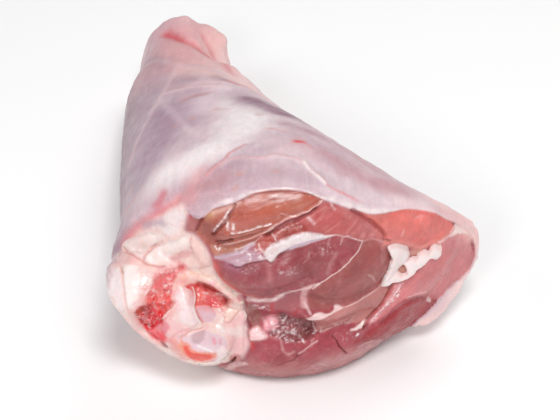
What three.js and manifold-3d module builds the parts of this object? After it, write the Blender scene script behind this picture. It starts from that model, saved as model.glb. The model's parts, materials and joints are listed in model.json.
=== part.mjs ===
// Raw lamb hind shank lying on its side: the calf muscles in their silver skin, cut across above the
// stifle, the shin bone with its knuckle bared at the joint, and the pocket of fat between the muscles.
// Millimetres. X runs across the cut, Y from the cut face back to the hock, Z up from the table.
import * as THREE from "three";
import { mergeVertices } from "three/addons/utils/BufferGeometryUtils.js";
import Module from "manifold-3d";

const wasm = await Module();
wasm.setup();

// Driving dimensions
const LENGTH = 166; // front of the cut to the tip of the hock
const HOCK_CAP = 12; // length of the rounded end of the hock
const HOCK_BLUNTNESS = 3.4; // superellipse exponent of that end
const SETTLE = 2.2; // how far the weight flattens the underside against the table
const FIT_GAP = 0.3; // clearance between touching solids
const MID_HEIGHT = 0.42; // height of a section's widest line, as a share of its top
// How much leaner than an ellipse each quarter of a section is, halfway round it
const LEAN = { boneOver: -0.02, flankOver: 0.14, boneUnder: 0.05, flankUnder: 0.055 };

// Sections from the cut back to the hock: distance back, then the outline's left edge, crest and right
// edge across, and the height of the crest
const SECTIONS = [
  { back: -6, left: -50, crest: 0, right: 69, top: 71 },
  { back: 27, left: -51, crest: -2, right: 67.5, top: 68.5 },
  { back: 60, left: -53, crest: -7, right: 40, top: 59 },
  { back: 92, left: -55, crest: -18, right: 16, top: 48 },
  { back: 122, left: -56, crest: -30, right: -2, top: 40 },
  { back: 134, left: -55.5, crest: -34, right: -9.5, top: 37.5 },
  { back: 146, left: -54, crest: -35, right: -19.5, top: 36 },
  { back: LENGTH, left: -53, crest: -34, right: -16, top: 35 },
];

// Waves of the skin over the muscles, fading out behind the cut: place across, half width, height
const SKIN_WAVES = [
  { name: "furrow before the eye muscle", x: 26, width: 8, height: -2.5 },
  { name: "swell of the eye muscle", x: 42, width: 8, height: 1.2 },
];
const WAVE_REACH = 70; // distance behind the cut where the waves have gone

// The cut face: a shallow dome, falling back to both sides
const FACE_CENTRE = { x: 8, z: 34 };
const FACE_MIDDLE = { x: -1, z: 26 };
const FACE_CURVE = { across: 0.0085, up: 0.0035 }; // fall-back in mm for each square mm off the middle
const RIM_SHOULDER = 6; // how tightly the cut's relief fades at the rim

// Muscles that bulge from the cut: middle, half sizes and turn on the face, and height of the bulge
const MUSCLES = [
  { name: "flap", x: -5, z: 62, across: 30, tall: 12, turn: 0.25, bulge: 3.5 },
  { name: "calf head", x: -4, z: 47, across: 24, tall: 13, turn: 0.25, bulge: 6 },
  { name: "strip", x: 19, z: 57, across: 16, tall: 9, turn: -0.3, bulge: 3 },
  { name: "calf block", x: 20, z: 42, across: 17, tall: 13, turn: 0.35, bulge: 5 },
  { name: "eye", x: 43, z: 50, across: 17, tall: 10, turn: -0.5, bulge: 4 },
  { name: "flank band", x: 44, z: 30, across: 11, tall: 24, turn: -0.75, bulge: 4.5 },
  { name: "toe strip", x: 16, z: 27, across: 18, tall: 7, turn: 0.1, bulge: 3 },
  { name: "shin", x: 8, z: 11, across: 36, tall: 15, turn: 0.1, bulge: 5 },
  { name: "lower flank", x: 40, z: 15, across: 15, tall: 10, turn: 0.5, bulge: 3 },
];
const MUSCLE_BLEND = 0.9; // how softly neighbouring muscles meet

// Seams in the cut, each a smooth line through [x, z] points, with its half width and depth
const SEAMS = [
  { name: "under the flap", line: [[-24, 56], [-17, 53], [-3, 60], [12, 65]], width: 2.2, depth: 2.2 },
  { name: "fold in the flap", line: [[-20, 55], [-17, 60], [-13, 65]], width: 1.8, depth: 1.5 },
  { name: "under the tendon", line: [[-20, 46], [-8, 47], [2, 53], [14, 56]], width: 2, depth: 1.5 },
  { name: "calf head", line: [[-21, 43], [-13, 38], [-2, 38], [10, 42]], width: 2.4, depth: 2.5 },
  { name: "before the eye", line: [[21, 62], [27, 56], [32, 49]], width: 2, depth: 1.8 },
  { name: "under the block", line: [[6, 36], [16, 32], [26, 32], [30, 34]], width: 2.2, depth: 1.5 },
  { name: "beside the band", line: [[37, 32], [32, 25], [27, 20]], width: 2.4, depth: 2.5 },
  { name: "above the shin", line: [[-6, 25], [4, 25], [12, 21], [25, 23]], width: 3.2, depth: 3 },
];

// Creases in the skin, each a smooth line through [x, back] points, seen from above
const CREASES = [
  { name: "hock tendon", line: [[-45, 151], [-37, 143], [-29, 135], [-23, 128]], width: 3, depth: 1.6 },
  { name: "hock notch", line: [[-27, 152], [-24, 141], [-22, 132]], width: 3, depth: 1.8 },
  { name: "behind the eye muscle", line: [[34, 46], [43, 44], [54, 38]], width: 9, depth: 4.2 },
  { name: "knee fat", line: [[-50, 22], [-42, 16], [-32, 13], [-22, 17]], width: 4, depth: 2.2 },
];

// Pads of knee fat on the skin's edge above the knuckle: middle, reach and height
const FAT_PADS = [
  { x: -52, back: 4, z: 31, reach: 12, height: 8 },
  { x: -42, back: 15, z: 47, reach: 7, height: 2 },
];

// The shin bone: its knuckle at the joint and its shaft inside the meat
const BONE_FRONT = -6; // front of the knuckle
const BONE_END = 138; // blind end inside the hock
const KNUCKLE = { long: 25, short: 15, turn: -0.75, length: 24, nose: 16 }; // half sizes, turn, depths
const SHAFT = { radius: 7, blend: 12, tip: 8 };
const BONE_AXIS = { frontX: -29.2, frontZ: 23.5, endX: -35, endZ: 17 };

// Lumps and hollows on the knuckle: middle on the face, reach and height
const KNUCKLE_FORMS = [
  { name: "fat pad", x: -45, z: 34, reach: 7, height: 4 },
  { name: "blood hollow", x: -36, z: 33, reach: 5, height: -3 },
  { name: "lower blood hollow", x: -39, z: 26, reach: 5, height: -3.5 },
  { name: "strap", x: -28, z: 32, reach: 4, height: 2.5 },
  { name: "joint hollow", x: -21, z: 34, reach: 5, height: -3.5 },
  { name: "lower condyle", x: -23, z: 18, reach: 8, height: 3 },
  { name: "side fat", x: -13, z: 25, reach: 6, height: 3 },
];

// The pocket of fat between the muscles: three lobes round its middle, following the cut
const FAT = { x: 38, z: 38.5, radius: 8, lobe: 2.6, turn: -0.1, proud: 1.2, deep: 26 };

const shape = new THREE.CubicInterpolant(
  SECTIONS.map((s) => s.back),
  SECTIONS.flatMap((s) => [s.left, s.crest, s.right, s.top]),
  4,
);

const LINE_STEPS = 24;

// Evenly spread points along the smooth line through the given ones
function traced(line) {
  const curve = new THREE.SplineCurve(line.map(([u, v]) => new THREE.Vector2(u, v)));
  return curve.getPoints(LINE_STEPS);
}

for (const groove of [...SEAMS, ...CREASES]) {
  groove.points = traced(groove.line);
}

function hump(distance, reach) {
  return Math.exp(-((distance / reach) ** 2));
}

// Depth of the grooves at (u, v): each is deepest on its line
function grooveDepth(grooves, u, v) {
  let depth = 0;
  for (const groove of grooves) {
    const nearest = Math.min(...groove.points.map((p) => Math.hypot(p.x - u, p.y - v)));
    depth = Math.max(depth, groove.depth * hump(nearest, groove.width));
  }
  return depth;
}

// A unit sphere whose poles lie on Y, each vertex moved to where place(angle, fall) puts it:
// angle turns about Y from +X, and fall runs from 0 at the +Y pole to 1 at the -Y pole.
function shapedSphere(around, along, place) {
  const sphere = new THREE.SphereGeometry(1, around, along);
  const position = sphere.getAttribute("position");
  const point = new THREE.Vector3();
  for (let i = 0; i < position.count; i++) {
    point.fromBufferAttribute(position, i);
    const fall = Math.acos(THREE.MathUtils.clamp(point.y, -1, 1)) / Math.PI;
    place(Math.atan2(point.z, point.x), fall, point);
    position.setXYZ(i, point.x, point.y, point.z);
  }
  sphere.deleteAttribute("normal");
  sphere.deleteAttribute("uv");
  return mergeVertices(sphere, 1e-4);
}

// A point on the outline of the section this far back, drawn in towards the middle by scale
function sectionPoint(back, angle, scale, point) {
  const [left, crest, right, top] = shape.evaluate(back);
  const middle = top * MID_HEIGHT;
  const flank = Math.cos(angle) > 0;
  const over = Math.sin(angle) > 0;
  const lean = LEAN[(flank ? "flank" : "bone") + (over ? "Over" : "Under")];
  const width = flank ? right - crest : crest - left;
  const height = over ? top - middle : middle + SETTLE;
  const radius = scale * (1 - lean * Math.sin(2 * angle) ** 2);
  point.x = crest + width * radius * Math.cos(angle);
  point.z = middle + height * radius * Math.sin(angle);
  point.y = back;
  if (over) {
    const fade = scale * (1 - THREE.MathUtils.smoothstep(back, 0, WAVE_REACH)) * Math.sin(angle);
    for (const wave of SKIN_WAVES) {
      point.z += wave.height * fade * hump(point.x - wave.x, wave.width);
    }
  }
}

function faceBack(x, z) {
  return FACE_CURVE.across * (x - FACE_MIDDLE.x) ** 2 + FACE_CURVE.up * (z - FACE_MIDDLE.z) ** 2;
}

// Height of the muscles' bulge, a soft maximum over their domes
function muscleBulge(x, z) {
  let sum = 1;
  for (const m of MUSCLES) {
    const dx = x - m.x;
    const dz = z - m.z;
    const u = (dx * Math.cos(m.turn) + dz * Math.sin(m.turn)) / m.across;
    const w = (dz * Math.cos(m.turn) - dx * Math.sin(m.turn)) / m.tall;
    sum += Math.exp((m.bulge * Math.max(0, 1 - u * u - w * w)) / MUSCLE_BLEND) - 1;
  }
  return MUSCLE_BLEND * Math.log(sum);
}

function cutRelief(x, z) {
  return muscleBulge(x, z) - grooveDepth(SEAMS, x, z);
}

// Where the skin of the section meets the cut, found by walking the section onto the face
function rimBack(angle, point) {
  let back = 0;
  for (let step = 0; step < 24; step++) {
    sectionPoint(back, angle, 1, point);
    back = (back + faceBack(point.x, point.z)) / 2;
  }
  return back;
}

// Pole-to-pole rings of the meat: round the hock's cap, along the skin, over the cut
const RINGS = { around: 80, cap: 6, skin: 20, face: 28 };
const ALONG = RINGS.cap + RINGS.skin + RINGS.face;
const CAP_SHARE = RINGS.cap / ALONG;
const RIM_SHARE = (RINGS.cap + RINGS.skin) / ALONG;
const FACE_SPREAD = 0.8; // under 1 draws the rings of the cut towards its rim

// Moves a point of the skin into its creases and out over the pads of fat, away from the middle
function dressSkin(angle, point) {
  const facingUp = Math.max(0, Math.sin(angle));
  let out = -facingUp * grooveDepth(CREASES, point.x, point.y);
  for (const pad of FAT_PADS) {
    const distance = Math.hypot(point.x - pad.x, point.y - pad.back, point.z - pad.z);
    out += pad.height * hump(distance, pad.reach);
  }
  point.x += out * Math.cos(angle);
  point.z += out * Math.sin(angle);
}

function meatPoint(angle, fall, point) {
  const rim = rimBack(angle, point);
  if (fall < CAP_SHARE) {
    const swing = (fall / CAP_SHARE) * (Math.PI / 2);
    const back = LENGTH - HOCK_CAP * (1 - Math.cos(swing) ** (2 / HOCK_BLUNTNESS));
    sectionPoint(back, angle, Math.sin(swing) ** (2 / HOCK_BLUNTNESS), point);
    dressSkin(angle, point);
  } else if (fall < RIM_SHARE) {
    const share = (fall - CAP_SHARE) / (RIM_SHARE - CAP_SHARE);
    sectionPoint(THREE.MathUtils.lerp(LENGTH - HOCK_CAP, rim, share), angle, 1, point);
    dressSkin(angle, point);
  } else {
    sectionPoint(rim, angle, 1, point);
    dressSkin(angle, point);
    const rimPoint = point.clone();
    const reach = ((1 - fall) / (1 - RIM_SHARE)) ** FACE_SPREAD;
    const shoulder = 1 - reach ** RIM_SHOULDER;
    point.x = THREE.MathUtils.lerp(FACE_CENTRE.x, rimPoint.x, reach);
    point.z = THREE.MathUtils.lerp(FACE_CENTRE.z, rimPoint.z, reach);
    point.y = faceBack(point.x, point.z) - cutRelief(point.x, point.z) * shoulder;
  }
  point.z = Math.max(point.z, 0);
}

function meatBody() {
  return shapedSphere(RINGS.around, ALONG, meatPoint);
}

const BONE_RINGS = { around: 40, along: 24 };
const NOSE_SHARE = 0.55; // share of the bone's rings that round the knuckle's nose

// The bone swells at the knuckle and thins to its shaft. grow widens it all over.
function boneBody(grow) {
  const noseEnd = BONE_FRONT + KNUCKLE.nose;
  return shapedSphere(BONE_RINGS.around, BONE_RINGS.along, (angle, fall, point) => {
    const swing = (Math.min(1, (1 - fall) / NOSE_SHARE) * Math.PI) / 2;
    const nose = Math.sin(swing);
    let back = noseEnd - (KNUCKLE.nose + grow) * Math.cos(swing);
    if (fall < 1 - NOSE_SHARE) {
      back = THREE.MathUtils.lerp(BONE_END + grow, noseEnd, fall / (1 - NOSE_SHARE));
    }
    const axis = (back - BONE_FRONT) / (BONE_END - BONE_FRONT);
    const swell = THREE.MathUtils.smoothstep(KNUCKLE.length + SHAFT.blend - back, 0, KNUCKLE.length);
    const tail = roundedEnd(BONE_END + grow - back, SHAFT.tip);
    const long = (THREE.MathUtils.lerp(SHAFT.radius, KNUCKLE.long, swell) + grow) * nose * tail;
    const short = (THREE.MathUtils.lerp(SHAFT.radius, KNUCKLE.short, swell) + grow) * nose * tail;
    const u = long * Math.cos(angle - KNUCKLE.turn);
    const w = short * Math.sin(angle - KNUCKLE.turn);
    point.x = THREE.MathUtils.lerp(BONE_AXIS.frontX, BONE_AXIS.endX, axis);
    point.x += u * Math.cos(KNUCKLE.turn) - w * Math.sin(KNUCKLE.turn);
    point.z = THREE.MathUtils.lerp(BONE_AXIS.frontZ, BONE_AXIS.endZ, axis);
    point.z += u * Math.sin(KNUCKLE.turn) + w * Math.cos(KNUCKLE.turn);
    point.y = back - knuckleRelief(point.x, point.z) * swell;
  });
}

function roundedEnd(distance, length) {
  return Math.sqrt(Math.max(0, 1 - Math.max(0, 1 - distance / length) ** 2));
}

function knuckleRelief(x, z) {
  let height = 0;
  for (const form of KNUCKLE_FORMS) {
    height += form.height * hump(Math.hypot(x - form.x, z - form.z), form.reach);
  }
  return height;
}

const FAT_RINGS = { around: 30, along: 14 };

// The fat is a plug whose front stands a little proud of the cut and whose back tapers into the meat
function fatBody(grow) {
  return shapedSphere(FAT_RINGS.around, FAT_RINGS.along, (angle, fall, point) => {
    const swing = fall * Math.PI;
    const radius = FAT.radius + FAT.lobe * Math.cos(3 * (angle - FAT.turn)) + grow;
    const depth = Math.cos(swing) > 0 ? FAT.deep + grow : FAT.proud + grow;
    point.x = FAT.x + radius * Math.sin(swing) * Math.cos(angle);
    point.z = FAT.z + radius * Math.sin(swing) * Math.sin(angle);
    point.y = faceBack(point.x, point.z) - muscleBulge(point.x, point.z) + depth * Math.cos(swing);
  });
}

function toSolid(geometry) {
  return new wasm.Manifold(
    new wasm.Mesh({
      numProp: 3,
      vertProperties: new Float32Array(geometry.getAttribute("position").array),
      triVerts: new Uint32Array(geometry.index.array),
    }),
  );
}

function toGeometry(solid) {
  const mesh = solid.getMesh();
  const geometry = new THREE.BufferGeometry();
  geometry.setAttribute("position", new THREE.BufferAttribute(mesh.vertProperties, 3));
  geometry.setIndex(new THREE.BufferAttribute(mesh.triVerts, 1));
  geometry.computeVertexNormals();
  return geometry;
}

function finish(color, roughness) {
  return new THREE.MeshStandardMaterial({ color, roughness, metalness: 0 });
}

const meat = toSolid(meatBody()).subtract(toSolid(boneBody(FIT_GAP))).subtract(toSolid(fatBody(FIT_GAP)));

const shank = new THREE.Group();
for (const [name, geometry, material] of [
  ["meat", toGeometry(meat), finish(0xb98c8c, 0.4)],
  ["shank_bone", boneBody(0), finish(0xe6d2cd, 0.3)],
  ["fat_pocket", fatBody(0), finish(0xf0e4de, 0.45)],
]) {
  const mesh = new THREE.Mesh(geometry, material);
  mesh.name = name;
  shank.add(mesh);
}

// The origin is the middle of the footprint, on the table
const box = new THREE.Box3().setFromObject(shank);
const middle = box.getCenter(new THREE.Vector3());
shank.children.forEach((mesh) => mesh.position.set(-middle.x, -middle.y, -box.min.z));

export default shank;
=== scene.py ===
import json
import math
import bpy
import numpy as np
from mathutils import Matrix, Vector, noise

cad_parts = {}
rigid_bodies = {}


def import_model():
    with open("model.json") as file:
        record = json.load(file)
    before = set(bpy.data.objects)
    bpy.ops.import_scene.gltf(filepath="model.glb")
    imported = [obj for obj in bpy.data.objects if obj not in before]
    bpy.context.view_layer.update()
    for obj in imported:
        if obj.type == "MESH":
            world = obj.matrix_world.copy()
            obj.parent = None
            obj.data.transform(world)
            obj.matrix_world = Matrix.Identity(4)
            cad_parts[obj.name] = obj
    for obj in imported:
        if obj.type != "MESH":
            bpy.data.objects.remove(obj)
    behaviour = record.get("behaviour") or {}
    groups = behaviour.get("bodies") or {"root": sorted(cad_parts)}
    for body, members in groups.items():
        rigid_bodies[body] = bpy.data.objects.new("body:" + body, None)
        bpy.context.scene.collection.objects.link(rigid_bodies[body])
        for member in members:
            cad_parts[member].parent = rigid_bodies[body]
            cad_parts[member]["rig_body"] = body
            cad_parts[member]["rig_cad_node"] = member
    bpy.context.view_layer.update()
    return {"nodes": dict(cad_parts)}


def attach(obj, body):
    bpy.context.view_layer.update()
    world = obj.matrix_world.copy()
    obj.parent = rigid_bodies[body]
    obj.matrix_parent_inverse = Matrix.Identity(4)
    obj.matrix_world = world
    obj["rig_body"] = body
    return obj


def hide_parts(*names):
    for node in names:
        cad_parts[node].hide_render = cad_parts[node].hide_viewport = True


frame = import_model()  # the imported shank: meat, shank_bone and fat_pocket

mm = 0.001
cutAt = {"x": -3.42, "y": -78.84}  # middle of the cut in the frame, mm
dome = {"x": -1, "z": 26, "across": 0.0085, "up": 0.0035}  # how the cut falls back to its edges
sight = {"slant": 0.782, "closer": 0.0055}  # rise of the line of view per mm of depth, less higher up


# Lines, outlines and grain

def smoothLine(points, closed=False, steps=4):  # a smooth line through a few points
    pts = np.array(points, float)
    count = len(pts)
    made = []
    for i in range(count if closed else count - 1):
        before = pts[i - 1] if closed or i > 0 else pts[i]
        here = pts[i]
        after = pts[(i + 1) % count]
        beyond = pts[(i + 2) % count] if closed or i + 2 < count else after
        for step in range(steps):
            t = step / steps
            made.append(0.5 * (2 * here + (after - before) * t
                               + (2 * before - 5 * here + 4 * after - beyond) * t ** 2
                               + (3 * here - before - 3 * after + beyond) * t ** 3))
    if not closed:
        made.append(pts[-1])
    return np.array(made)


def gapSquared(spots, a, b):  # squared distance to the stretch from a to b
    run = b - a
    t = np.clip(((spots - a) @ run) / max(run @ run, 1e-12), 0, 1)
    gap = spots - a - t[:, None] * run
    return (gap * gap).sum(1)


def lineDistance(spots, points):  # how far each spot is from a line or a point
    line = smoothLine(points) if len(points) > 1 else np.array([points[0], points[0]], float)
    best = np.full(len(spots), np.inf)
    for a, b in zip(line[:-1], line[1:]):
        best = np.minimum(best, gapSquared(spots, a, b))
    return np.sqrt(best)


def outlineDistance(spots, points):  # distance to a closed outline, negative inside
    line = smoothLine(points, closed=True)
    best = np.full(len(spots), np.inf)
    inside = np.zeros(len(spots), bool)
    for a, b in zip(line, np.roll(line, -1, axis=0)):
        best = np.minimum(best, gapSquared(spots, a, b))
        if a[1] != b[1]:
            crosses = (a[1] > spots[:, 1]) != (b[1] > spots[:, 1])
            inside ^= crosses & (spots[:, 0] < a[0] + (spots[:, 1] - a[1]) * (b[0] - a[0]) / (b[1] - a[1]))
    return np.where(inside, -1, 1) * np.sqrt(best)


def ramp(value, start, end):  # 0 at start, 1 at end, smooth between
    t = np.clip((value - start) / (end - start), 0, 1)
    return t * t * (3 - 2 * t)


def between(value, start, full, fading, end):  # rises from start to full, falls from fading to end
    return ramp(value, start, full) * ramp(value, end, fading)


def bell(distance, reach):
    return np.exp(-(distance / reach) ** 2)


def rounded(inside, reach):  # 0 at an edge, rising like a quarter circle to 1
    t = 1 - np.clip(inside / reach, 0, 1)
    return np.sqrt(np.maximum(1 - t * t, 0))


def grain(places, pattern):  # soft noise: grain size in mm, octaves, shift, any lean
    size, octaves, shift, *lean = pattern
    for along, rise in lean:  # fibres that climb to the right
        places = places @ np.array([[along, 0, -rise], [0, 1, 0], [rise, 0, along]])
    scaled = places / np.array(size, float) + shift
    return np.array([noise.fractal(p, 0.7, 2.1, octaves) for p in scaled])


def waver(spots, places, reach, size, octaves, shifts):  # moves spots a little, so that edges waver
    return spots + reach * np.stack([grain(places, (size, octaves, shift)) for shift in shifts], 1)


def linear(colour):  # screen colour 0 to 255 as light
    c = np.array(colour, float) / 255
    return np.where(c <= 0.04045, c / 12.92, ((c + 0.055) / 1.055) ** 2.4)


def mixed(values, mask, goal):  # values moved towards a goal, as far as the mask says
    return values + (mask * (goal - values).T).T


def lay(paint, mask, colour):  # one coat of colour, as thick as the mask
    paint[:] = mixed(paint, np.clip(mask, 0, 1), linear(colour))


def evenCoat(count, colour):
    return np.tile(linear(colour), (count, 1))


# Mesh handling

def pickOnly(*pieces):  # the first becomes the active one
    bpy.ops.object.select_all(action="DESELECT")
    for piece in pieces:
        piece.select_set(True)
    bpy.context.view_layer.objects.active = pieces[0]


def applied(piece, kind, **values):  # adds a modifier and applies it
    pickOnly(piece)
    made = piece.modifiers.new(kind.lower(), kind)
    for key, value in values.items():
        setattr(made, key, value)
    bpy.ops.object.modifier_apply(modifier=made.name)


def evened(piece, voxel, rounds):  # small even faces all over, smoothed
    applied(piece, "REMESH", mode="VOXEL", voxel_size=voxel * mm)
    applied(piece, "SMOOTH", factor=0.5, iterations=rounds)


def copyNode(node, name):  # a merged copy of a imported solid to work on
    bpy.ops.object.select_all(action="DESELECT")
    piece = frame["nodes"][node].copy()
    piece.data = piece.data.copy()
    piece.name = name
    piece.data.name = name
    piece.parent = None
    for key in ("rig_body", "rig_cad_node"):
        if key in piece:
            del piece[key]
    bpy.context.scene.collection.objects.link(piece)
    pickOnly(piece)
    bpy.ops.object.mode_set(mode="EDIT")
    bpy.ops.mesh.select_all(action="SELECT")
    bpy.ops.mesh.remove_doubles(threshold=0.00001)
    bpy.ops.object.mode_set(mode="OBJECT")
    piece.data.materials.clear()
    return piece


def vertexPlaces(piece):  # places in mm from the middle of the cut
    co = np.empty(len(piece.data.vertices) * 3)
    piece.data.vertices.foreach_get("co", co)
    places = co.reshape(-1, 3) / mm
    places[:, 0] -= cutAt["x"]
    places[:, 1] -= cutAt["y"]
    return places


def vertexNormals(piece):
    turned = np.empty(len(piece.data.vertices) * 3)
    piece.data.vertices.foreach_get("normal", turned)
    return turned.reshape(-1, 3)


def setPlaces(piece, places):
    co = places.copy()
    co[:, 0] += cutAt["x"]
    co[:, 1] += cutAt["y"]
    co[:, 2] = np.maximum(co[:, 2], 0)  # nothing sinks below the table
    piece.data.vertices.foreach_set("co", (co * mm).ravel())
    piece.data.update()


def refine(piece, near, rounds):  # smaller faces where the finest forms show
    bpy.ops.object.mode_set(mode="EDIT")
    bpy.ops.mesh.select_all(action="DESELECT")
    bpy.ops.object.mode_set(mode="OBJECT")
    for face in piece.data.polygons:
        face.select = all(near[v] for v in face.vertices)
    bpy.ops.object.mode_set(mode="EDIT")
    bpy.ops.mesh.subdivide(number_cuts=1)
    bpy.ops.mesh.vertices_smooth(factor=0.5, repeat=rounds)
    bpy.ops.object.mode_set(mode="OBJECT")


def storePaint(piece, paint, rough, wet):  # what the tissue material reads at each vertex
    colours = np.ones((len(paint), 4))
    colours[:, :3] = np.clip(paint, 0, 1)
    layer = piece.data.attributes.new("tint", "FLOAT_COLOR", "POINT")
    layer.data.foreach_set("color", colours.ravel())
    for name, values in (("rough", rough), ("wet", wet)):
        layer = piece.data.attributes.new(name, "FLOAT", "POINT")
        layer.data.foreach_set("value", np.clip(values, 0.0, 1.0))


def finishPiece(piece, node, material):
    piece.data.materials.append(material)
    pickOnly(piece)
    bpy.ops.object.shade_smooth()
    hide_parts(node)
    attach(piece, "root")
    triangles = sum(len(face.vertices) - 2 for face in piece.data.polygons)
    print(piece.name, "shaped and painted:", triangles, "triangles")


def behindCut(places):  # how far a place lies behind the domed cut, mm
    return (places[:, 1] - dome["across"] * (places[:, 0] - dome["x"]) ** 2
            - dome["up"] * (places[:, 2] - dome["z"]) ** 2)


def seen(places):  # the spot (x, z) on the cut in line with a place
    tilt = 1 + sight["closer"] * (places[:, 2] - dome["z"])
    return np.stack([places[:, 0], places[:, 2] + sight["slant"] * behindCut(places) / tilt], 1)


def alongView(x, up, behind):  # the place in line with a spot, so far behind the cut
    z = up
    for again in range(4):
        z = up - sight["slant"] * behind / (1 + sight["closer"] * (z - dome["z"]))
    return (x, behind + dome["across"] * (x - dome["x"]) ** 2 + dome["up"] * (z - dome["z"]) ** 2, z)


# Wet tissue, coloured by the paint on the mesh

def addNode(tree, kind, values={}, feeds={}, **settings):  # a shader node, its inputs and links
    made = tree.nodes.new("ShaderNode" + kind)
    for name, value in settings.items():
        setattr(made, name, value)
    for socket, value in values.items():
        made.inputs[socket].default_value = value
    for socket, source in feeds.items():
        tree.links.new(source, made.inputs[socket])
    return made


def addNoise(tree, place, size, detail, roughness=0.5):
    values = {"Scale": 1 / (size * mm), "Detail": detail, "Roughness": roughness}
    return addNode(tree, "TexNoise", values, {"Vector": place}).outputs["Fac"]


def addSpread(tree, source, low, high):  # turns the middle of a noise into low to high
    values = {"From Min": 0.3, "From Max": 0.7, "To Min": low, "To Max": high}
    return addNode(tree, "MapRange", values, {"Value": source}).outputs["Result"]


def tissue(name, look):
    made = bpy.data.materials.new(name)
    made.use_nodes = True
    tree = made.node_tree
    shader = tree.nodes["Principled BSDF"]
    place = addNode(tree, "TexCoord").outputs["Object"]
    tint = addNode(tree, "Attribute", attribute_name="tint").outputs["Color"]
    rough = addNode(tree, "Attribute", attribute_name="rough").outputs["Fac"]
    moist = addNode(tree, "Attribute", attribute_name="wet").outputs["Fac"]
    fine = addNoise(tree, place, look["grain"], 4, 0.65)  # fine grain of the tissue
    film = addNoise(tree, place, look["film"], 2)  # moisture lies in uneven patches
    ripple = addNoise(tree, place, look["ripple"], 1.5)
    shade = addSpread(tree, fine, 1 - look["mottle"], 1 + look["mottle"])
    tone = addNode(tree, "VectorMath", {}, {0: tint, 1: shade}, operation="MULTIPLY").outputs["Vector"]
    patchy = addSpread(tree, film, 0.75, 1.3)
    dull = addNode(tree, "Math", {}, {0: rough, 1: patchy}, operation="MULTIPLY").outputs["Value"]
    swell = addNode(tree, "Math", {1: look["swell"]}, {0: moist}, operation="MULTIPLY").outputs["Value"]
    lift = addNode(tree, "Bump", {"Strength": look["lift"], "Distance": look["grain"] * mm * 0.5},
                   {"Height": fine}).outputs["Normal"]
    glint = addNode(tree, "Bump", {"Distance": look["ripple"] * mm * 0.5},  # the wetter, the more it glints
                    {"Strength": swell, "Height": ripple, "Normal": lift}).outputs["Normal"]
    feeds = {"Base Color": tone, "Roughness": dull, "Coat Weight": moist, "Normal": glint,
             "Coat Normal": glint}
    for socket, source in feeds.items():
        tree.links.new(source, shader.inputs[socket])
    shader.inputs["Subsurface Weight"].default_value = look["glow"]
    shader.inputs["Subsurface Radius"].default_value = (1.0, 0.4, 0.3)
    shader.inputs["Subsurface Scale"].default_value = look["depth"] * mm
    shader.inputs["Coat Roughness"].default_value = look["coatRough"]
    shader.inputs["IOR"].default_value = 1.4
    return made


# The meat: cut face and silver skin

meat = {
    "voxel": 1.28, "rounds": 4,  # mm, and smoothing rounds after the remesh
    "fineReach": 2.0, "skinReach": 60,  # mm behind the cut, and back, that get finer faces
    "detail": 1.1,  # mm beside a line that get the finest faces
    "lowBehind": 6, "sideBehind": 1.0,  # how far back the cut reaches below and at the right
    "sideStart": (36, 46),  # x where it passes from one to the other
    "look": {"grain": 0.7, "mottle": 0.07, "film": 5, "lift": 0.3, "ripple": 1.3, "swell": 0.5,
             "glow": 0.2, "depth": 1.5, "coatRough": 0.09},
}

nudges = {  # outline corrections: place (x, back, z), reach, shift, mm
    "rightEdge": ((62.5, 34.5, 29), 8, (0.8, 0.3, 0)),
    "rightLow": ((60, 33, 17), 7, (1.4, 0.4, 0)),
    "bottomRight": ((35, 12, 3), 13, (0, 2.2, 0.8)),
    "rightLower": ((48, 21.5, 9), 8, (1.8, -0.3, 0)),
    "waistLeft": ((-52.8, 140, 25), 9, (2.3, 0, 0)),
    "waistUpper": ((-51.8, 151, 24), 8, (0.8, 0, 0)),
    "leftSkin": ((-51.2, 42, 34), 16, (1.2, 0, 0)),
    "kneeSide": ((-50.5, 13, 33), 10, (-1.9, 0, 0)),
    "waistRight": ((-19.1, 159, 19), 4.8, (-2.4, 0, 0)),
    "calfEdge": ((-15, 128, 28), 9, (1.3, 0, 0.4)),
    "calfTop": ((-17.5, 124, 34), 5, (0.8, 0, 1.6)),
    "hockDip": ((-30.8, 161.2, 32.8), 3.5, (0, 0, -2)),
    "hockPeak": ((-35.6, 159.6, 34.8), 2.6, (0, 0, 0.7)),
    "hockBump": ((-25.1, 159.4, 27.6), 5, (0.9, 0, 1.4)),
    "hockSide": ((-21.6, 161.6, 22.8), 4.5, (1.9, 0, 1)),
    "hockTop": ((-40.7, 158.7, 33.9), 5, (0, 0, 0.6)),
}

rim = {  # where the silver skin was cut through, (x, z) mm
    "top": [(-30, 57), (-28, 59.6), (-25.5, 58.3), (-22.5, 58.6), (-19.4, 61.9), (-16.2, 63.6),
        (-13.7, 64.8), (-11.2, 66.2), (-6.9, 68.6), (-0.7, 69.6), (3.9, 69.4), (8.6, 68), (12.7, 65.6),
        (15.8, 64), (20.2, 61.6), (23.3, 59.9), (26.6, 58.2), (30.6, 57.1), (36.2, 56.1), (40, 54.3),
        (43.9, 51.8), (47.1, 49.2), (50, 45.8), (53.6, 42)],
    "right": [(55.6, 39.3), (59, 34.1), (61.1, 28), (61.6, 23), (60.2, 19.2), (57, 17.4), (52.4, 16.5),
        (50, 14.8), (46.1, 12), (42, 8.9)],
    "below": [(36, 2), (26, -6), (0, -10), (-30, -10), (-52, 0), (-50, 30), (-38, 48)],
}

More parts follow.
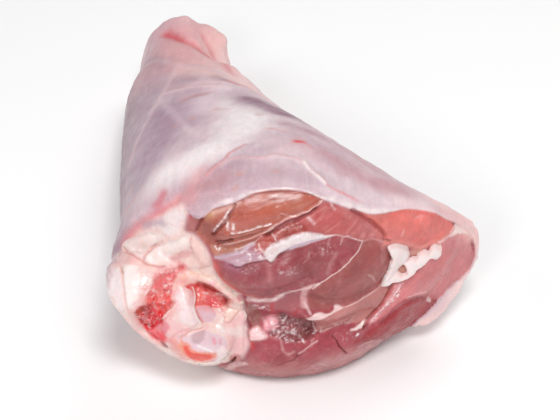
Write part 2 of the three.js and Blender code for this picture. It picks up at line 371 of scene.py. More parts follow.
fleshFields = {  # muscles on the cut: outline (x, z), colour, roughness, moisture
    "toeStrip": ([(19, 30), (26, 31), (31, 32), (34, 33), (33, 29), (31, 25), (28, 21.5), (25, 20.5),
        (18, 21.2), (12, 20.2), (10, 24), (8, 27), (12, 28), (16, 29.5)], (190, 126, 122), 0.34, 0.15),
    "betweenHeads": ([(-3, 33), (1, 35.5), (5, 36.5), (6.5, 33.5), (6, 30.5), (2, 28.5), (-2, 30)],
        (172, 101, 106), 0.34, 0.2),
    "lowerFlank": ([(50, 15.5), (46, 20), (42, 24), (38, 24.5), (33.5, 20.5), (28, 17.5), (22, 15),
        (27, 13), (32.5, 9), (38, 6), (43, 9.5)], (162, 62, 68), 0.34, 0.15),
    "outerBand": ([(54, 41.5), (58.5, 34), (60, 29), (61.5, 23), (60, 19), (57, 17.3), (52.4, 16.5),
        (50, 15.5), (45.5, 20), (41.5, 25.5), (37, 25.5), (31.5, 20.5), (27, 18.5), (32, 24), (35.5, 30),
        (37.7, 33.5), (40, 34), (44.7, 38), (48.9, 38), (50, 40)], (207, 126, 129), 0.36, 0.1),
    "block": ([(24, 52), (22.8, 49.4), (21, 48), (16.4, 44.9), (11.9, 40.7), (9, 37), (8, 32),
        (10.5, 30.2), (14, 30), (16.2, 31), (19.7, 30), (26.3, 31.3), (30, 32), (32, 37.7), (33.3, 41.7),
        (32.2, 45.5), (31, 48.5), (27, 51.3)], (163, 93, 91), 0.4, 0.1),
    "calfHead": ([(-19.9, 45.9), (-19.3, 43.1), (-17.7, 40.2), (-14.8, 37.2), (-11.2, 35.1), (-6.5, 34.7),
        (-2, 36.2), (1, 38), (4.4, 38.6), (9, 38.3), (11.2, 40.2), (13.9, 43), (17.4, 45.5), (21, 47.9),
        (23.5, 50.8), (23.8, 52), (19.5, 54.5), (15.6, 55.6), (12.8, 55), (5.5, 54), (1.8, 53.2),
        (-0.7, 52), (-2.6, 50.2), (-4.4, 50.6), (-8.8, 49.6), (-11.4, 47.6), (-14, 47.6), (-16.4, 48.3)],
        (162, 86, 92), 0.3, 0.3),
    "strip": ([(12, 65), (13, 66.8), (18, 64.3), (21, 61.5), (25.6, 57.4), (28.5, 54), (30.5, 51),
        (30.5, 48.7), (27, 51.3), (24.2, 52), (19, 55), (16.3, 55.8), (12.8, 56.3), (9.6, 57.8),
        (2.4, 57.3), (-1.5, 56.2), (-1.9, 58.5), (2.4, 61.5), (6, 62.2), (9.6, 63.5)],
        (190, 106, 106), 0.32, 0.3),
    "eyeMuscle": ([(20.8, 61.9), (24, 60), (28.4, 58.1), (32, 57.4), (36.2, 56.8), (40.4, 54.7),
        (44.3, 52.1), (48.3, 48.4), (51.7, 44.3), (53.2, 41.5), (52.3, 40.2), (49.4, 40.2), (45.4, 41.5),
        (41.9, 41.9), (37.6, 45), (33.8, 47.5), (30.9, 48.8), (30.5, 50.6), (27.8, 55.1), (24.1, 58.9)],
        (226, 122, 116), 0.36, 0.1),
    "eyeShade": ([(22, 61.5), (28.4, 58.1), (33, 57.2), (30, 54), (31.5, 50), (30.5, 50.6), (27.8, 55.1)],
        (214, 120, 112), 0.36, 0.1),
    "flap": ([(-22.3, 59.2), (-19.4, 62.6), (-16.2, 64.1), (-13.7, 65.2), (-11.2, 66.7), (-6.9, 69),
        (-0.7, 70.2), (3.9, 70), (8.6, 68.5), (12.7, 66), (12.3, 65.5), (8, 63.2), (4.9, 62.2),
        (1.8, 61.5), (-1.6, 59.5), (-4.4, 57.8), (-7.6, 55.9), (-11.3, 53.9), (-15.8, 51.8),
        (-19.9, 50.6), (-22.8, 51.4), (-25, 53.4), (-24.4, 54.2), (-23.5, 56.5)],
        (184, 102, 88), 0.2, 0.75),
    "pleats": ([(-20, 53.5), (-14.5, 55.5), (-10, 57), (-5.4, 59), (-1.6, 59.9), (-1.3, 58), (-4.4, 56.4),
        (-7, 54.6), (-10.1, 53.4), (-12.6, 52.2), (-16.4, 50.4), (-19.6, 49.6)],
        (186, 116, 104), 0.2, 0.8),
    "goldPleat": ([(-19.9, 51.2), (-16.4, 51.8), (-12.6, 53.2), (-10.1, 54.4), (-11.3, 52.7),
        (-13.9, 51.1), (-16.7, 49.8), (-19, 49)], (190, 124, 102), 0.2, 0.8),
    "redBrown": ([(-6.9, 55.6), (-4.4, 57.4), (-1.9, 58.6), (1.2, 60), (4.5, 60.8), (6.5, 60.4),
        (8, 58.1), (4.9, 58), (0.9, 56.8), (-2.2, 55.5), (-4.7, 53), (-6.3, 53.9)],
        (174, 86, 80), 0.26, 0.5),
    "subFlap": ([(-25.9, 58.3), (-23, 59.1), (-24.4, 54.2), (-22.8, 51.6), (-25, 53.2), (-27.6, 53.5),
        (-27.2, 56)], (172, 104, 102), 0.26, 0.5),
    "brownPiece": ([(-9.4, 31.9), (-7.5, 31.1), (-5.6, 26), (-6.4, 23.2), (-8.7, 23.1), (-10, 26.4),
        (-10.1, 29.8)], (158, 100, 96), 0.24, 0.6),
    "wetHollow": ([(-2.6, 24.3), (0.5, 27.2), (3.9, 25.4), (7.7, 26.1), (10.2, 25.2), (10.9, 20.5),
        (9.7, 19), (6.6, 19.1), (2.8, 18.9), (-1, 20.5), (-3.3, 21.2)], (146, 84, 88), 0.2, 0.9),
}

stains = {  # soft colours on the cut: line (x, z), reach, strength, colour
    "flapLeft": ([(-21.5, 57.5), (-20, 54.5), (-17.5, 53)], 2.8, 0.55, (132, 60, 52)),
    "headDark": ([(4, 46), (13, 49.5)], 3.6, 0.3, (134, 54, 58)),
    "corner": ([(-21.3, 59.9), (-19.6, 61.4)], 1.2, 0.7, (214, 160, 118)),
    "amber": ([(-6, 64), (0, 65.5), (6, 65.6)], 1.6, 0.25, (214, 132, 100)),
    "ember": ([(-9, 61), (-3, 62.6), (2, 64)], 1.4, 0.3, (188, 92, 76)),
    # below: a painted highlight along the membrane's top edge, pale bluish-lilac
    "membraneTopHighlight": ([(-18.8, 48.3), (-13.9, 50.7), (-11.3, 52.2), (-9.4, 53.6), (-7.6, 54.8)],
        0.5, 0.75, (206, 188, 202)),
    "purple": ([(-15, 47.2), (-12.4, 47.4)], 1.5, 0.5, (166, 104, 134)),
    "fringe": ([(-19.5, 61.6), (-16.2, 63.2), (-13.7, 64.4), (-11.5, 65.7)], 0.6, 0.6, (226, 184, 174)),
    "bloodA": ([(-8.7, 18), (-8.2, 16)], 0.8, 0.7, (200, 56, 60)),
    "redEdge": ([(-19.6, 46), (-18.6, 43), (-16.8, 40), (-13.8, 37.4)], 1.5, 0.85, (210, 88, 82)),
    "redStreak": ([(-2.4, 31.9), (-2.1, 27.3), (-1, 24.8)], 0.55, 0.7, (190, 44, 54)),
    "nodeRed": ([(5.4, 30.3), (4.5, 28.1)], 0.35, 0.7, (178, 40, 46)),
    "pitRed": ([(5.4, 23), (7.4, 22.6), (9.2, 22)], 0.9, 0.6, (126, 58, 52)),
    "pitLow": ([(6.8, 20.7), (9, 20.2)], 0.7, 0.55, (126, 64, 56)),
    "wedgePit": ([(25.6, 18.7)], 0.6, 0.7, (120, 28, 34)),
    "ridgeRed": ([(34.6, 31.6), (33.4, 29.2), (32.1, 26.7), (30.6, 24.1), (28.4, 21.8)],
        0.55, 0.75, (196, 70, 66)),
    "pocketHole": ([(36.7, 35.7)], 1.6, 0.9, (196, 146, 128)),
    "pocketGap": ([(39.4, 40), (43, 39.6)], 1.1, 0.8, (206, 158, 142)),
    "shinPale": ([(14, 10), (22, 9), (30, 6)], 3.2, 0.5, (206, 150, 150)),
    "bandDarkA": ([(-5.1, 48.7), (-5.6, 45.7), (-5.4, 42.7)], 1, 0.3, (138, 60, 70)),
    "bandLightA": ([(-3.4, 49.5), (-3, 47.3), (-2.9, 45)], 0.8, 0.35, (206, 142, 144)),
    "bandDarkB": ([(-0.5, 48.2), (-1, 45), (-0.7, 38.7)], 1.2, 0.4, (140, 60, 70)),
    "bandDarkC": ([(7.1, 48.8), (8.4, 45.4)], 2.2, 0.65, (134, 42, 48)),
    "bandDarkD": ([(5.5, 54.3), (5.2, 51.8)], 1.2, 0.4, (140, 60, 68)),
    "bandLightD": ([(2.7, 53.4), (1.2, 50.4)], 0.9, 0.3, (206, 150, 152)),
    "flapRed": ([(-8.7, 63.1), (-5, 63.6), (-1.9, 64.5)], 1.6, 0.4, (184, 80, 64)),
    "flapRedB": ([(-11.3, 60), (-9.4, 61.5), (-6.9, 62.3)], 1.2, 0.35, (188, 80, 70)),
    "flapBrown": ([(-21.7, 57.7), (-19.8, 56.7), (-19.6, 53.5)], 2.2, 0.65, (142, 44, 30)),
    "stripRed": ([(10.9, 61.7), (14.5, 59.4), (17.3, 57.1)], 2.6, 0.55, (186, 74, 74)),
    "stripRedB": ([(9.2, 59), (12.8, 56.9)], 1.8, 0.4, (176, 72, 70)),
    "blockRed": ([(27.9, 47.9), (25.7, 45.3)], 2, 0.45, (160, 68, 68)),
    "blockDark": ([(22.8, 46.4), (20.7, 42.5), (16.5, 39)], 2.5, 0.35, (132, 68, 70)),
    "eyeBright": ([(30.7, 53.1), (34.3, 53.6), (38.1, 52.1)], 2.5, 0.2, (238, 132, 116)),
    "outerRed": ([(50.6, 33.3), (47.5, 31.4), (46, 29.8)], 2, 0.5, (196, 90, 90)),
    "flankDeep": ([(42, 21), (46, 17.5)], 2.5, 0.45, (160, 60, 68)),
    "outerRedB": ([(55.3, 27.8), (53.2, 23.3), (50, 21.4)], 2, 0.45, (202, 98, 102)),
    "outerPale": ([(56, 39), (58.6, 35.6), (59.8, 33)], 1.9, 0.8, (246, 200, 192)),
    "eyePink": ([(31.5, 52), (34, 49.8), (38, 47.2)], 2.2, 0.35, (214, 130, 130)),
    "eyeRed": ([(38, 46.4), (41.5, 44), (45.5, 43)], 1.1, 0.4, (218, 108, 108)),
    "pocketTop": ([(30.9, 48.1), (33.8, 46.9), (37.6, 44.4), (41.9, 41.3), (45.4, 40.9), (49.4, 39.7)],
        0.9, 0.9, (232, 146, 138)),
}

sheen = {  # painted highlight where the flap catches the light, (x, z)
    "line": [(-9.4, 66.4), (-6.3, 67.3), (-2.2, 67.8), (2.4, 68), (5.5, 68.1)], "reach": 0.95,
    "colour": (242, 214, 212),
}

whiteLines = {  # connective tissue and fat, and one painted highlight: line (x, z), half width, strength
    "thinSeam": ([(23.9, 52), (23.5, 50.8), (22.4, 49.2), (21, 47.9), (17.4, 45.5), (13.9, 43),
        (11.2, 40.2), (9.5, 38.5)], 0.18, 0.75),
    "topSeam": ([(12.8, 55.3), (15.6, 55.7), (19.5, 54.5), (23.8, 52.1)], 0.18, 0.6),
    "topSeamEnd": ([(24.2, 51.9), (27.1, 51.3), (30.5, 48.5)], 0.2, 0.2),
    "headStreakA": ([(18.2, 54.6), (17.7, 52.6)], 0.3, 0.3),
    "headStreakB": ([(14.4, 54.7), (13.8, 53.2)], 0.3, 0.2),
    "headStreakC": ([(16.3, 50.1), (14.7, 47.3), (13.8, 44.5)], 0.7, 0.12),
    "headCurl": ([(8.4, 52.4), (8.2, 50.9), (6.8, 49.8)], 0.2, 0.2),
    "blockLine": ([(25.8, 41.2), (27.4, 39.2), (28.6, 35)], 0.2, 0.3),
    "bandTop": ([(31.1, 32.6), (27.8, 31), (25.6, 30.5), (23, 30), (19.5, 29.5)], 0.22, 0.5),
    "fatLine": ([(0.5, 35.7), (5, 37.1), (9.5, 39.5), (11.6, 40.6)], 0.4, 0.6),
    "fatFlat": ([(-9, 33.8), (-7, 33.3), (-4.5, 33.3), (-2, 33.8), (0.5, 35.4)], 0.8, 0.8),
    "nodeBranch": ([(7.2, 32.5), (8.4, 30.1), (9, 28.8)], 0.4, 0.5),
    "whiteThread": ([(9.6, 25.3), (10.1, 22.2), (10.7, 20.8)], 0.2, 0.7),
    "flankStreak": ([(38.8, 26), (41.5, 26.1), (44.8, 24.3)], 0.3, 0.4),
    "flankSpot": ([(46, 18.9), (46.6, 18)], 0.55, 0.75),
    "shinLine": ([(5.7, 15.3), (8.9, 17.5), (11.3, 18.2)], 0.3, 0.45),
    "shinArc": ([(0.5, 19.6), (0.9, 16.8), (2.4, 15.4), (4.3, 16.3)], 0.4, 0.22),
    "lowStreak": ([(9.8, 9), (12.5, 8.8), (14.6, 6.8)], 0.35, 0.35),
    "lowStreakB": ([(23.9, 12.3), (26.1, 12.3), (28.5, 10.9)], 0.35, 0.35),
    "lowTag": ([(-16.5, 1.9), (-14, 6.3), (-10.8, 9)], 0.9, 0.6),
    "eyeFloor": ([(53.3, 41.4), (51, 40), (48, 40.2)], 0.5, 0.5),
    "eyeVeinA": ([(36, 48.9), (36.4, 50.6)], 0.4, 0.25),
    "eyeVeinB": ([(40.4, 52.3), (42.3, 51.9), (41.9, 51.2)], 0.25, 0.25),
    "flapEdge": ([(-4.4, 58.1), (-1.6, 59.9), (1.8, 61.8), (4.9, 62.5), (8, 63.5), (10.2, 64.6),
        (12.3, 65.7)], 0.25, 0.45),
    "flapVein": ([(0.2, 63.7), (1.8, 63), (3.3, 62.5)], 0.2, 0.3),
    "pleatLine": ([(-16.4, 52.3), (-12.6, 53.9), (-8.8, 55.7), (-5.1, 57.6), (-1.9, 59.2)], 0.15, 0.4),
    "pleatLineB": ([(-12.6, 52.4), (-10.1, 53.7), (-7.6, 55), (-5.1, 56.9)], 0.15, 0.4),
    "tick": ([(-2.4, 57.8), (-1.6, 57.3), (-1.2, 56.3)], 0.2, 0.6),
    "tickB": ([(-6.1, 55), (-5.5, 54)], 0.25, 0.6),
    # below: a painted highlight, a glint on the strip
    "stripGlintLine": ([(14.4, 64.8), (15.2, 63.9), (15.8, 62.9)], 0.3, 0.4),
}

glints = {  # painted highlights, glinting streaks on the wet flap: line (x, z), half width, strength
    "pleatLight": ([(-18.9, 56.1), (-17.3, 58.9), (-15.8, 61), (-14.1, 63.5)], 0.4, 0.85),
    "glintA": ([(-15.2, 60), (-14.9, 57.9)], 0.4, 0.95),
    "glintB": ([(-13.5, 59.8), (-13.4, 58.2)], 0.4, 0.9),
    "glintC": ([(-13.8, 56.9), (-10, 57.9), (-5.4, 59.8), (-2.6, 60.5)], 0.26, 0.9),
    "glintD": ([(-18.7, 51.3), (-18.1, 50.9)], 0.24, 0.95),
    "glintE": ([(-17.7, 50.5), (-17.3, 51.2)], 0.22, 0.9),
    "stripGlint": ([(8, 61.8), (9.1, 61), (9.9, 60.1)], 0.5, 0.5),
}

flecks = {  # painted glints, white flecks on wet spots that are also made wet and smooth: line (x, z), reach, strength, coarse or not
    "membrane": ([(-11.3, 50.9), (-8.8, 51.9), (-5.7, 52.7)], 1.2, 1, True),
    "headA": ([(-10.1, 46.6), (-7.6, 47.9)], 1.2, 0.4, False),
    "headB": ([(0.2, 47.5), (4, 47.8)], 1.6, 0.3, False),
    "headC": ([(12.1, 52.3), (14.4, 51.7)], 1.4, 0.35, False),
    "redBrown": ([(-1, 57.8), (3, 60), (6, 59.6)], 0.9, 0.25, False),
    "tendonEnd": ([(-3.8, 52.3), (-2.3, 54.7)], 0.8, 0.9, True),
    "ridgeA": ([(36.2, 31.4), (34.9, 28.6), (34.2, 26.2)], 0.4, 0.8, False),
    "ridgeC": ([(37, 31), (36.2, 28.1), (34.8, 25.7)], 0.35, 0.9, True),
    "ridgeB": ([(33.6, 25.5), (31.9, 24.2), (30.4, 22.5), (28.4, 20.4)], 0.9, 1, False),
    "crackA": ([(19.4, 17.6), (20.8, 18.1)], 0.7, 0.9, False),
    "crackB": ([(22.8, 17.1), (23.7, 17.6)], 0.6, 0.8, True),
    "creaseLow": ([(11, 20.4), (15.5, 21.5), (21.5, 21.8)], 0.6, 0.5, False),
    "hollowA": ([(-1, 21.9), (0.9, 23.8), (3.5, 25.1)], 1.3, 0.6, False),
    "hollowB": ([(0.5, 20.9), (3.5, 21.1), (4.3, 22.4)], 1.1, 0.6, True),
    "hollowC": ([(5.1, 19.7), (8.9, 18.6)], 0.8, 0.6, True),
    "brown": ([(-7.1, 30.6), (-4.8, 30.5), (-2.9, 29.6)], 0.9, 0.6, True),
    "gristle": ([(-4, 24), (-2.4, 24), (-2.4, 22)], 0.9, 0.7, True),
}

creases = {  # folds and splits: line (x, z), half width, depth, darkness of the painted shade over their darker flesh
    "flapUnder": ([(-3.8, 57.5), (-1, 58.9), (2.1, 60.6), (5.2, 61.5), (8, 62.6), (10.4, 63.8)],
        0.45, 0.9, 0.5),
    "foldADark": ([(-19.6, 54.4), (-16.6, 58.6), (-14.4, 62.1), (-12.8, 64.9)], 0.35, 0.8, 0.55),
    "subFlapLine": ([(-24.4, 54.2), (-23.5, 56.5), (-22.6, 59.2)], 0.35, 0.6, 0.4),
    "subFlapEdge": ([(-26.8, 59.5), (-25.5, 58.8), (-23.6, 59.1)], 0.3, 0.4, 0.5),
    "darkB": ([(-18.7, 52.1), (-14.8, 53.8), (-10.1, 55.8), (-6.9, 57.2), (-3.8, 58.8), (-1.6, 59.8)],
        0.3, 0.45, 0.35),
    "darkBdeep": ([(-18, 52.3), (-15.8, 53.2), (-13.9, 54.2)], 0.5, 0.3, 0.35),
    "lineC": ([(-15.8, 51.6), (-11.3, 53.7), (-7.6, 55.6), (-3.8, 57.5), (-1.3, 59.1)], 0.22, 0.4, 0.35),
    "rimDark": ([(-11.2, 66.2), (-6.9, 68.3), (-2.2, 69.1), (2.4, 69.1), (5.5, 68.7), (10.1, 67.2)],
        0.25, 0.3, 0.45),
    "headTop": ([(-13.9, 47.4), (-11.4, 47.4), (-8.8, 49.5), (-4.4, 50.5), (-2.6, 50.1), (-1, 51.7),
        (2.4, 53.1)], 0.4, 0.5, 0.2),
    "headLow": ([(-20.3, 46), (-19.3, 42), (-17.1, 39), (-13.2, 35.8), (-9.4, 34.1)], 0.5, 0.6, 0.05),
    "darkCrease": ([(20.8, 61.4), (25.6, 57.1), (28.5, 54), (30.1, 51.6), (30.9, 49.7)], 0.4, 0.9, 0.45),
    "creaseEnd": ([(30.5, 49.3), (32.8, 47.5)], 0.35, 0.5, 0.5),
    "ridgeGroove": ([(33.8, 31.7), (32.7, 29.2), (31.5, 26.7), (30.1, 24.1), (27.9, 21.8), (26.1, 20),
        (25.6, 18.8)], 0.4, 1.0, 0.3),
    "lowCrease": ([(10.4, 19.8), (12.6, 20.6), (15.5, 21.2), (18.9, 21.5), (21.8, 21.5)],
        0.4, 0.35, 0.15),
    "crack": ([(15.8, 18.8), (17, 17.6), (18, 15.6), (19.3, 13.1), (20.6, 10.8)], 0.2, 0.8, 0.9),
    "flankFold": ([(31.2, 18.5), (35.6, 21.9), (39.3, 23.7), (43.3, 22.6), (47.7, 18.4), (50.5, 14.7)],
        0.9, 0.4, 0.25),
    "lowLine": ([(26.1, 13.6), (30, 11.3), (32.5, 8.1)], 0.3, 0.3, 0.3),
    "shinDark": ([(-1.1, 10.4), (2.4, 12.1), (4.3, 12.8), (5.4, 15.1)], 0.22, 0.4, 0.55),
    "pieceSide": ([(-10.6, 32), (-10.6, 27), (-9.3, 22.5)], 0.5, 0.8, 0.5),
}

raisedStrips = {  # outline (x, z), height, colour, strength, soft edge, roughness, moisture
    "tendon": ([(-4.7, 53), (-3.8, 54.4), (-2.2, 55.5), (1.2, 56.7), (5.5, 57.9), (8.6, 57.8),
        (12.8, 56.2), (15.6, 55.5), (13.1, 54.8), (11.2, 54.7), (7.1, 54.1), (2.4, 53.2), (-0.1, 52.6),
        (-1.6, 50.7), (-2.9, 50.2), (-4.1, 51.7)], 0.8, (236, 225, 225), 0.92, 0.5, 0.3, 0.5),
    # the strip below is painted shade, lilac, along the tendon's lower side
    "tendonShadedSide": ([(-0.1, 52.6), (2.4, 53.4), (7.1, 54.3), (11.2, 54.9), (15, 55.3), (11.8, 55.5),
        (7.1, 55.3), (2.4, 54.5)], -0.2, (192, 164, 182), 0.95, 0.4, 0.3, 0.5),
    "membrane": ([(-18.6, 48), (-13.9, 50.6), (-11.3, 52.1), (-9.2, 53.4), (-6.6, 53.6), (-5.1, 53.2),
        (-4.1, 52.3), (-4.4, 50.8), (-8.8, 49.7), (-11.4, 47.8), (-13.9, 47.9), (-16.4, 48.2)],
        0.3, (204, 176, 190), 0.78, 1.2, 0.14, 1.0),
    "ridge": ([(34, 31.9), (37.3, 31.9), (36.3, 29.1), (35.1, 26.6), (33.3, 24.3), (31.5, 22.1),
        (29.7, 20.3), (27.9, 18.9), (26.7, 18.9), (26.3, 20.1), (28.2, 21.8), (30.4, 24.1), (31.8, 26.7),
        (33, 29.2)], 0.8, (230, 164, 167), 0.85, 0.9, 0.18, 1.0),
    "gristleA": ([(-4.9, 24.4), (-2.6, 26.2), (-0.7, 24.2), (-0.7, 22.9), (-2.6, 21.8), (-4.9, 21.6)],
        1.2, (247, 172, 180), 0.9, 0.6, 0.18, 0.9),
    "gristleB": ([(-9.1, 21.6), (-6.8, 22.8), (-4.9, 21.6), (-3.3, 20.6), (-4.9, 19.4), (-7.2, 18.7),
        (-9.1, 18.8)], 1.2, (249, 208, 208), 0.9, 0.6, 0.18, 0.9),
    "chunk": ([(7.3, 25.8), (9.4, 28.2), (11.1, 29.5), (14.1, 28.9), (15.7, 29.4), (16.4, 30.9),
        (19.1, 29.5), (16, 28.6), (12.6, 26.9), (10.4, 26.4)], 0.4, (244, 214, 212), 0.9, 0.4, 0.3, 0.4),
    "node": ([(6.2, 38), (8, 39.3), (9.4, 39.8), (8.4, 37.1), (8.1, 33.5), (8.4, 30.9), (6.7, 30.5),
        (5.9, 31.7)], 0.3, (230, 180, 180), 0.65, 0.7, 0.3, 0.4),
    "wedge": ([(21.2, 19.4), (23.3, 19.9), (26, 20.7), (26.4, 20.3), (25.6, 19.1), (24.6, 19),
        (22.2, 19)], 0.3, (244, 216, 210), 0.95, 0.25, 0.3, 0.4),
    "fascia": ([(53.6, 42.5), (55.6, 39.8), (59, 34.2), (55.8, 37.3), (53.6, 38.7), (51.5, 39.6),
        (53.3, 40.6)], 0.1, (244, 222, 219), 0.9, 0.5, 0.36, 0.2),
}

flapFolds = {  # pleats of the flap: line (x, z), half width, height
    "pleatA": ([(-18.9, 56.1), (-17.3, 58.9), (-15.6, 61.3), (-14.1, 63.5)], 0.55, 0.7),
    "pleatB": ([(-15.8, 55.8), (-13.8, 56.7), (-10, 57.7), (-5.4, 59.6), (-2.6, 60.4)], 0.45, 0.5),
    "pleatC": ([(-16.4, 52.4), (-12.6, 54), (-8.8, 55.8), (-5.1, 57.7), (-1.9, 59.3)], 0.3, 0.35),
    "pleatD": ([(-12.6, 52.4), (-10.1, 53.7), (-7.6, 55), (-5.1, 56.9)], 0.35, 0.4),
    "pleatE": ([(-19, 50.2), (-16, 51), (-13, 52)], 0.7, 0.5),
    "freeEdge": ([(-4.4, 58.1), (-1.6, 59.8), (1.8, 61.8), (4.9, 62.5), (8, 63.5), (10.2, 64.6),
        (12.3, 65.7)], 0.4, 0.45),
}

kneeFat = {  # fat round the knuckle, left of this outline (x, z)
    "line": [
        (-47.2, 38.7), (-45.6, 43.4), (-43.2, 47.2), (-40.1, 51.1), (-36.3, 55.4), (-33.3, 59.2),
        (-30.4, 62), (-28, 61), (-26.8, 59), (-27.3, 55.8), (-27.7, 53.2), (-25, 52.8), (-22.8, 51),
        (-20.6, 48), (-19.9, 44.6), (-19, 41.7), (-17.5, 39.3), (-14.7, 36.6), (-11.6, 34.4), (-10.8, 30),
        (-10.6, 26), (-9.9, 22.7), (-9.8, 18.5), (-9.3, 14.7), (-12, 8), (-18, 3), (-19, 0), (-40, -6),
        (-58, 4), (-56, 24)],
    "cover": [  # what the knuckle hides
        (-53, 22), (-51.5, 29), (-46.5, 39), (-38.4, 48.3), (-26, 52.6), (-18.4, 46.8), (-10, 33.9),
        (-9.5, 13.6), (-12.4, 9.4), (-25, 3.5), (-46.5, 14)],
    "reach": 26, "fade": 5,  # how far back it goes, mm
}

cutRelief = {  # heights and depths on the cut, mm
    "waver": (0.25, 3.5, 2, (11, 47)),  # reach of the wavering, then its noise
    "lip": 0.25,  # beside a crease, as a share of its depth
    "seam": 0.2, "skinLip": 0.3,
    "hollow": 1.3, "hollowRough": 1.0, "pitted": (2.4, 3, 8),
    "hole": {"at": (8.4, 20.5), "half": (2, 1), "deep": 1.2},
    "uneven": 0.25, "broad": (5, 3, 0), "fine": (1.4, 2, 5),
    "drawn": 0.14, "fibres": ((8, 4, 1.1), 2, 14, (0.97, 0.25)),  # along the flap
}

cutGrain = {  # noise on the cut: size in mm, octaves, shift, lean
    "cloud": (8, 3, 3), "mottle": (2, 2, 13), "pale": (5, 3, 9), "vein": (6, 2, 31), "ragged": (3, 3, 27),
    "fibre": ((9, 3, 0.9), 2, 17, (0.8, 0.6)), "paintedSheen": ((6, 3, 0.8), 2, 81, (0.99, 0.12)),
    "sinew": ((7, 3, 0.7), 2, 33, (0.93, 0.37)), "uneven": (2, 2, 67), "fading": (4, 2, 91),
    "broken": (2.2, 3, 61), "streak": ((1.8, 1.8, 0.9), 3, 49), "coarse": (1.4, 2, 39),
    "sparkle": (0.8, 2, 59),
}

cutTones = {
    "waver": (0.2, 2.6, 3, (21, 57)),  # reach of the wavering in mm, then its noise
    "flesh": (169, 84, 92), "low": (186, 124, 124), "pale": (206, 142, 140), "vein": (224, 180, 180),
    "bandFibre": (230, 150, 148), "stripFibre": (226, 158, 152), "headEdge": (208, 112, 104),
    # the crease colour is painted shade for the folds; glint and fleck colour painted highlights
    "creaseShade": (116, 38, 40), "whiteLine": (238, 210, 208), "glint": (252, 242, 242),
    "fleck": (248, 232, 234),
    "deepen": 0.026,  # wet flesh looks darker than its film
    "rough": 0.33, "wet": 0.15, "fleckRough": 0.16,
}


def nearDetail(spots):  # where on the cut the finest forms lie
    near = np.zeros(len(spots), bool)
    for group in (creases, whiteLines, flapFolds, glints, flecks):
        for part in group.values():
            near |= lineDistance(spots, part[0]) < meat["detail"]
    for strip in raisedStrips.values():
        near |= np.abs(outlineDistance(spots, strip[0])) < meat["detail"]
    for name in ("flap", "pleats", "wetHollow"):
        near |= outlineDistance(spots, fleshFields[name][0]) < 0.5
    return near


def shapeCut(places, normals, cut, flesh):
    here = places[cut]
    spots = waver(here[:, [0, 2]], here, *cutRelief["waver"])
    out = np.zeros(len(spots))
    for line, wide, deep, dark in creases.values():
        far = lineDistance(spots, line)
        out += deep * (cutRelief["lip"] * bell(far - 2 * wide, wide) - bell(far, wide))
    for line, high, *finish in raisedStrips.values():
        out += high * ramp(outlineDistance(spots, line), 0.3, -0.9)
    for line, wide, high in flapFolds.values():
        out += high * bell(lineDistance(spots, line), wide)
    for line, wide, full in whiteLines.values():
        out += cutRelief["seam"] * full * bell(lineDistance(spots, line), wide * 1.2)
    sunk = ramp(outlineDistance(spots, fleshFields["wetHollow"][0]), 0.8, -2.2)
    out -= sunk * (cutRelief["hollow"] - cutRelief["hollowRough"] * grain(here, cutRelief["pitted"]))
    hole = cutRelief["hole"]
    out -= hole["deep"] * bell(np.hypot(*((spots - hole["at"]) / hole["half"]).T), 1)
    slick = ramp(outlineDistance(spots, fleshFields["flap"][0]), 0.5, -1)
    uneven = grain(here, cutRelief["broad"]) + 0.4 * (1 - slick) * grain(here, cutRelief["fine"])
    out += cutRelief["uneven"] * (1 - 0.6 * slick) * uneven
    out += cutRelief["drawn"] * slick * grain(here, cutRelief["fibres"])
    bare = 1 - ramp(outlineDistance(seen(here), kneeFat["line"]), 1, -1)
    out += cutRelief["skinLip"] * bare * (bell(flesh[cut] - 0.5, 0.5) - bell(flesh[cut] + 0.6, 0.45))
    places[cut] += normals[cut] * out[:, None]


def paintFields(here, spots):  # the muscles' own colour, roughness and moisture
    coat = evenCoat(len(spots), cutTones["flesh"])
    shine = np.full(len(spots), cutTones["rough"])
    wet = np.full(len(spots), cutTones["wet"])
    lay(coat, 0.8 * ramp(here[:, 2], 15, 5) * ramp(here[:, 0], 36, 28), cutTones["low"])
    for line, colour, rough, moist in fleshFields.values():
        mask = ramp(outlineDistance(spots, line), 0.35, -0.35)
        lay(coat, mask, colour)
        shine = mixed(shine, mask, rough)
        wet = mixed(wet, mask, moist)
    coat *= (1 + 0.16 * grain(here, cutGrain["cloud"]) + 0.1 * grain(here, cutGrain["mottle"]))[:, None]
    lay(coat, 0.2 * ramp(grain(here, cutGrain["pale"]), 0.1, 0.6), cutTones["pale"])
    lay(coat, 0.14 * ramp(np.abs(grain(here, cutGrain["vein"])), 0.05, 0.0), cutTones["vein"])
    return np.maximum(coat - cutTones["deepen"], 0.004), shine, wet


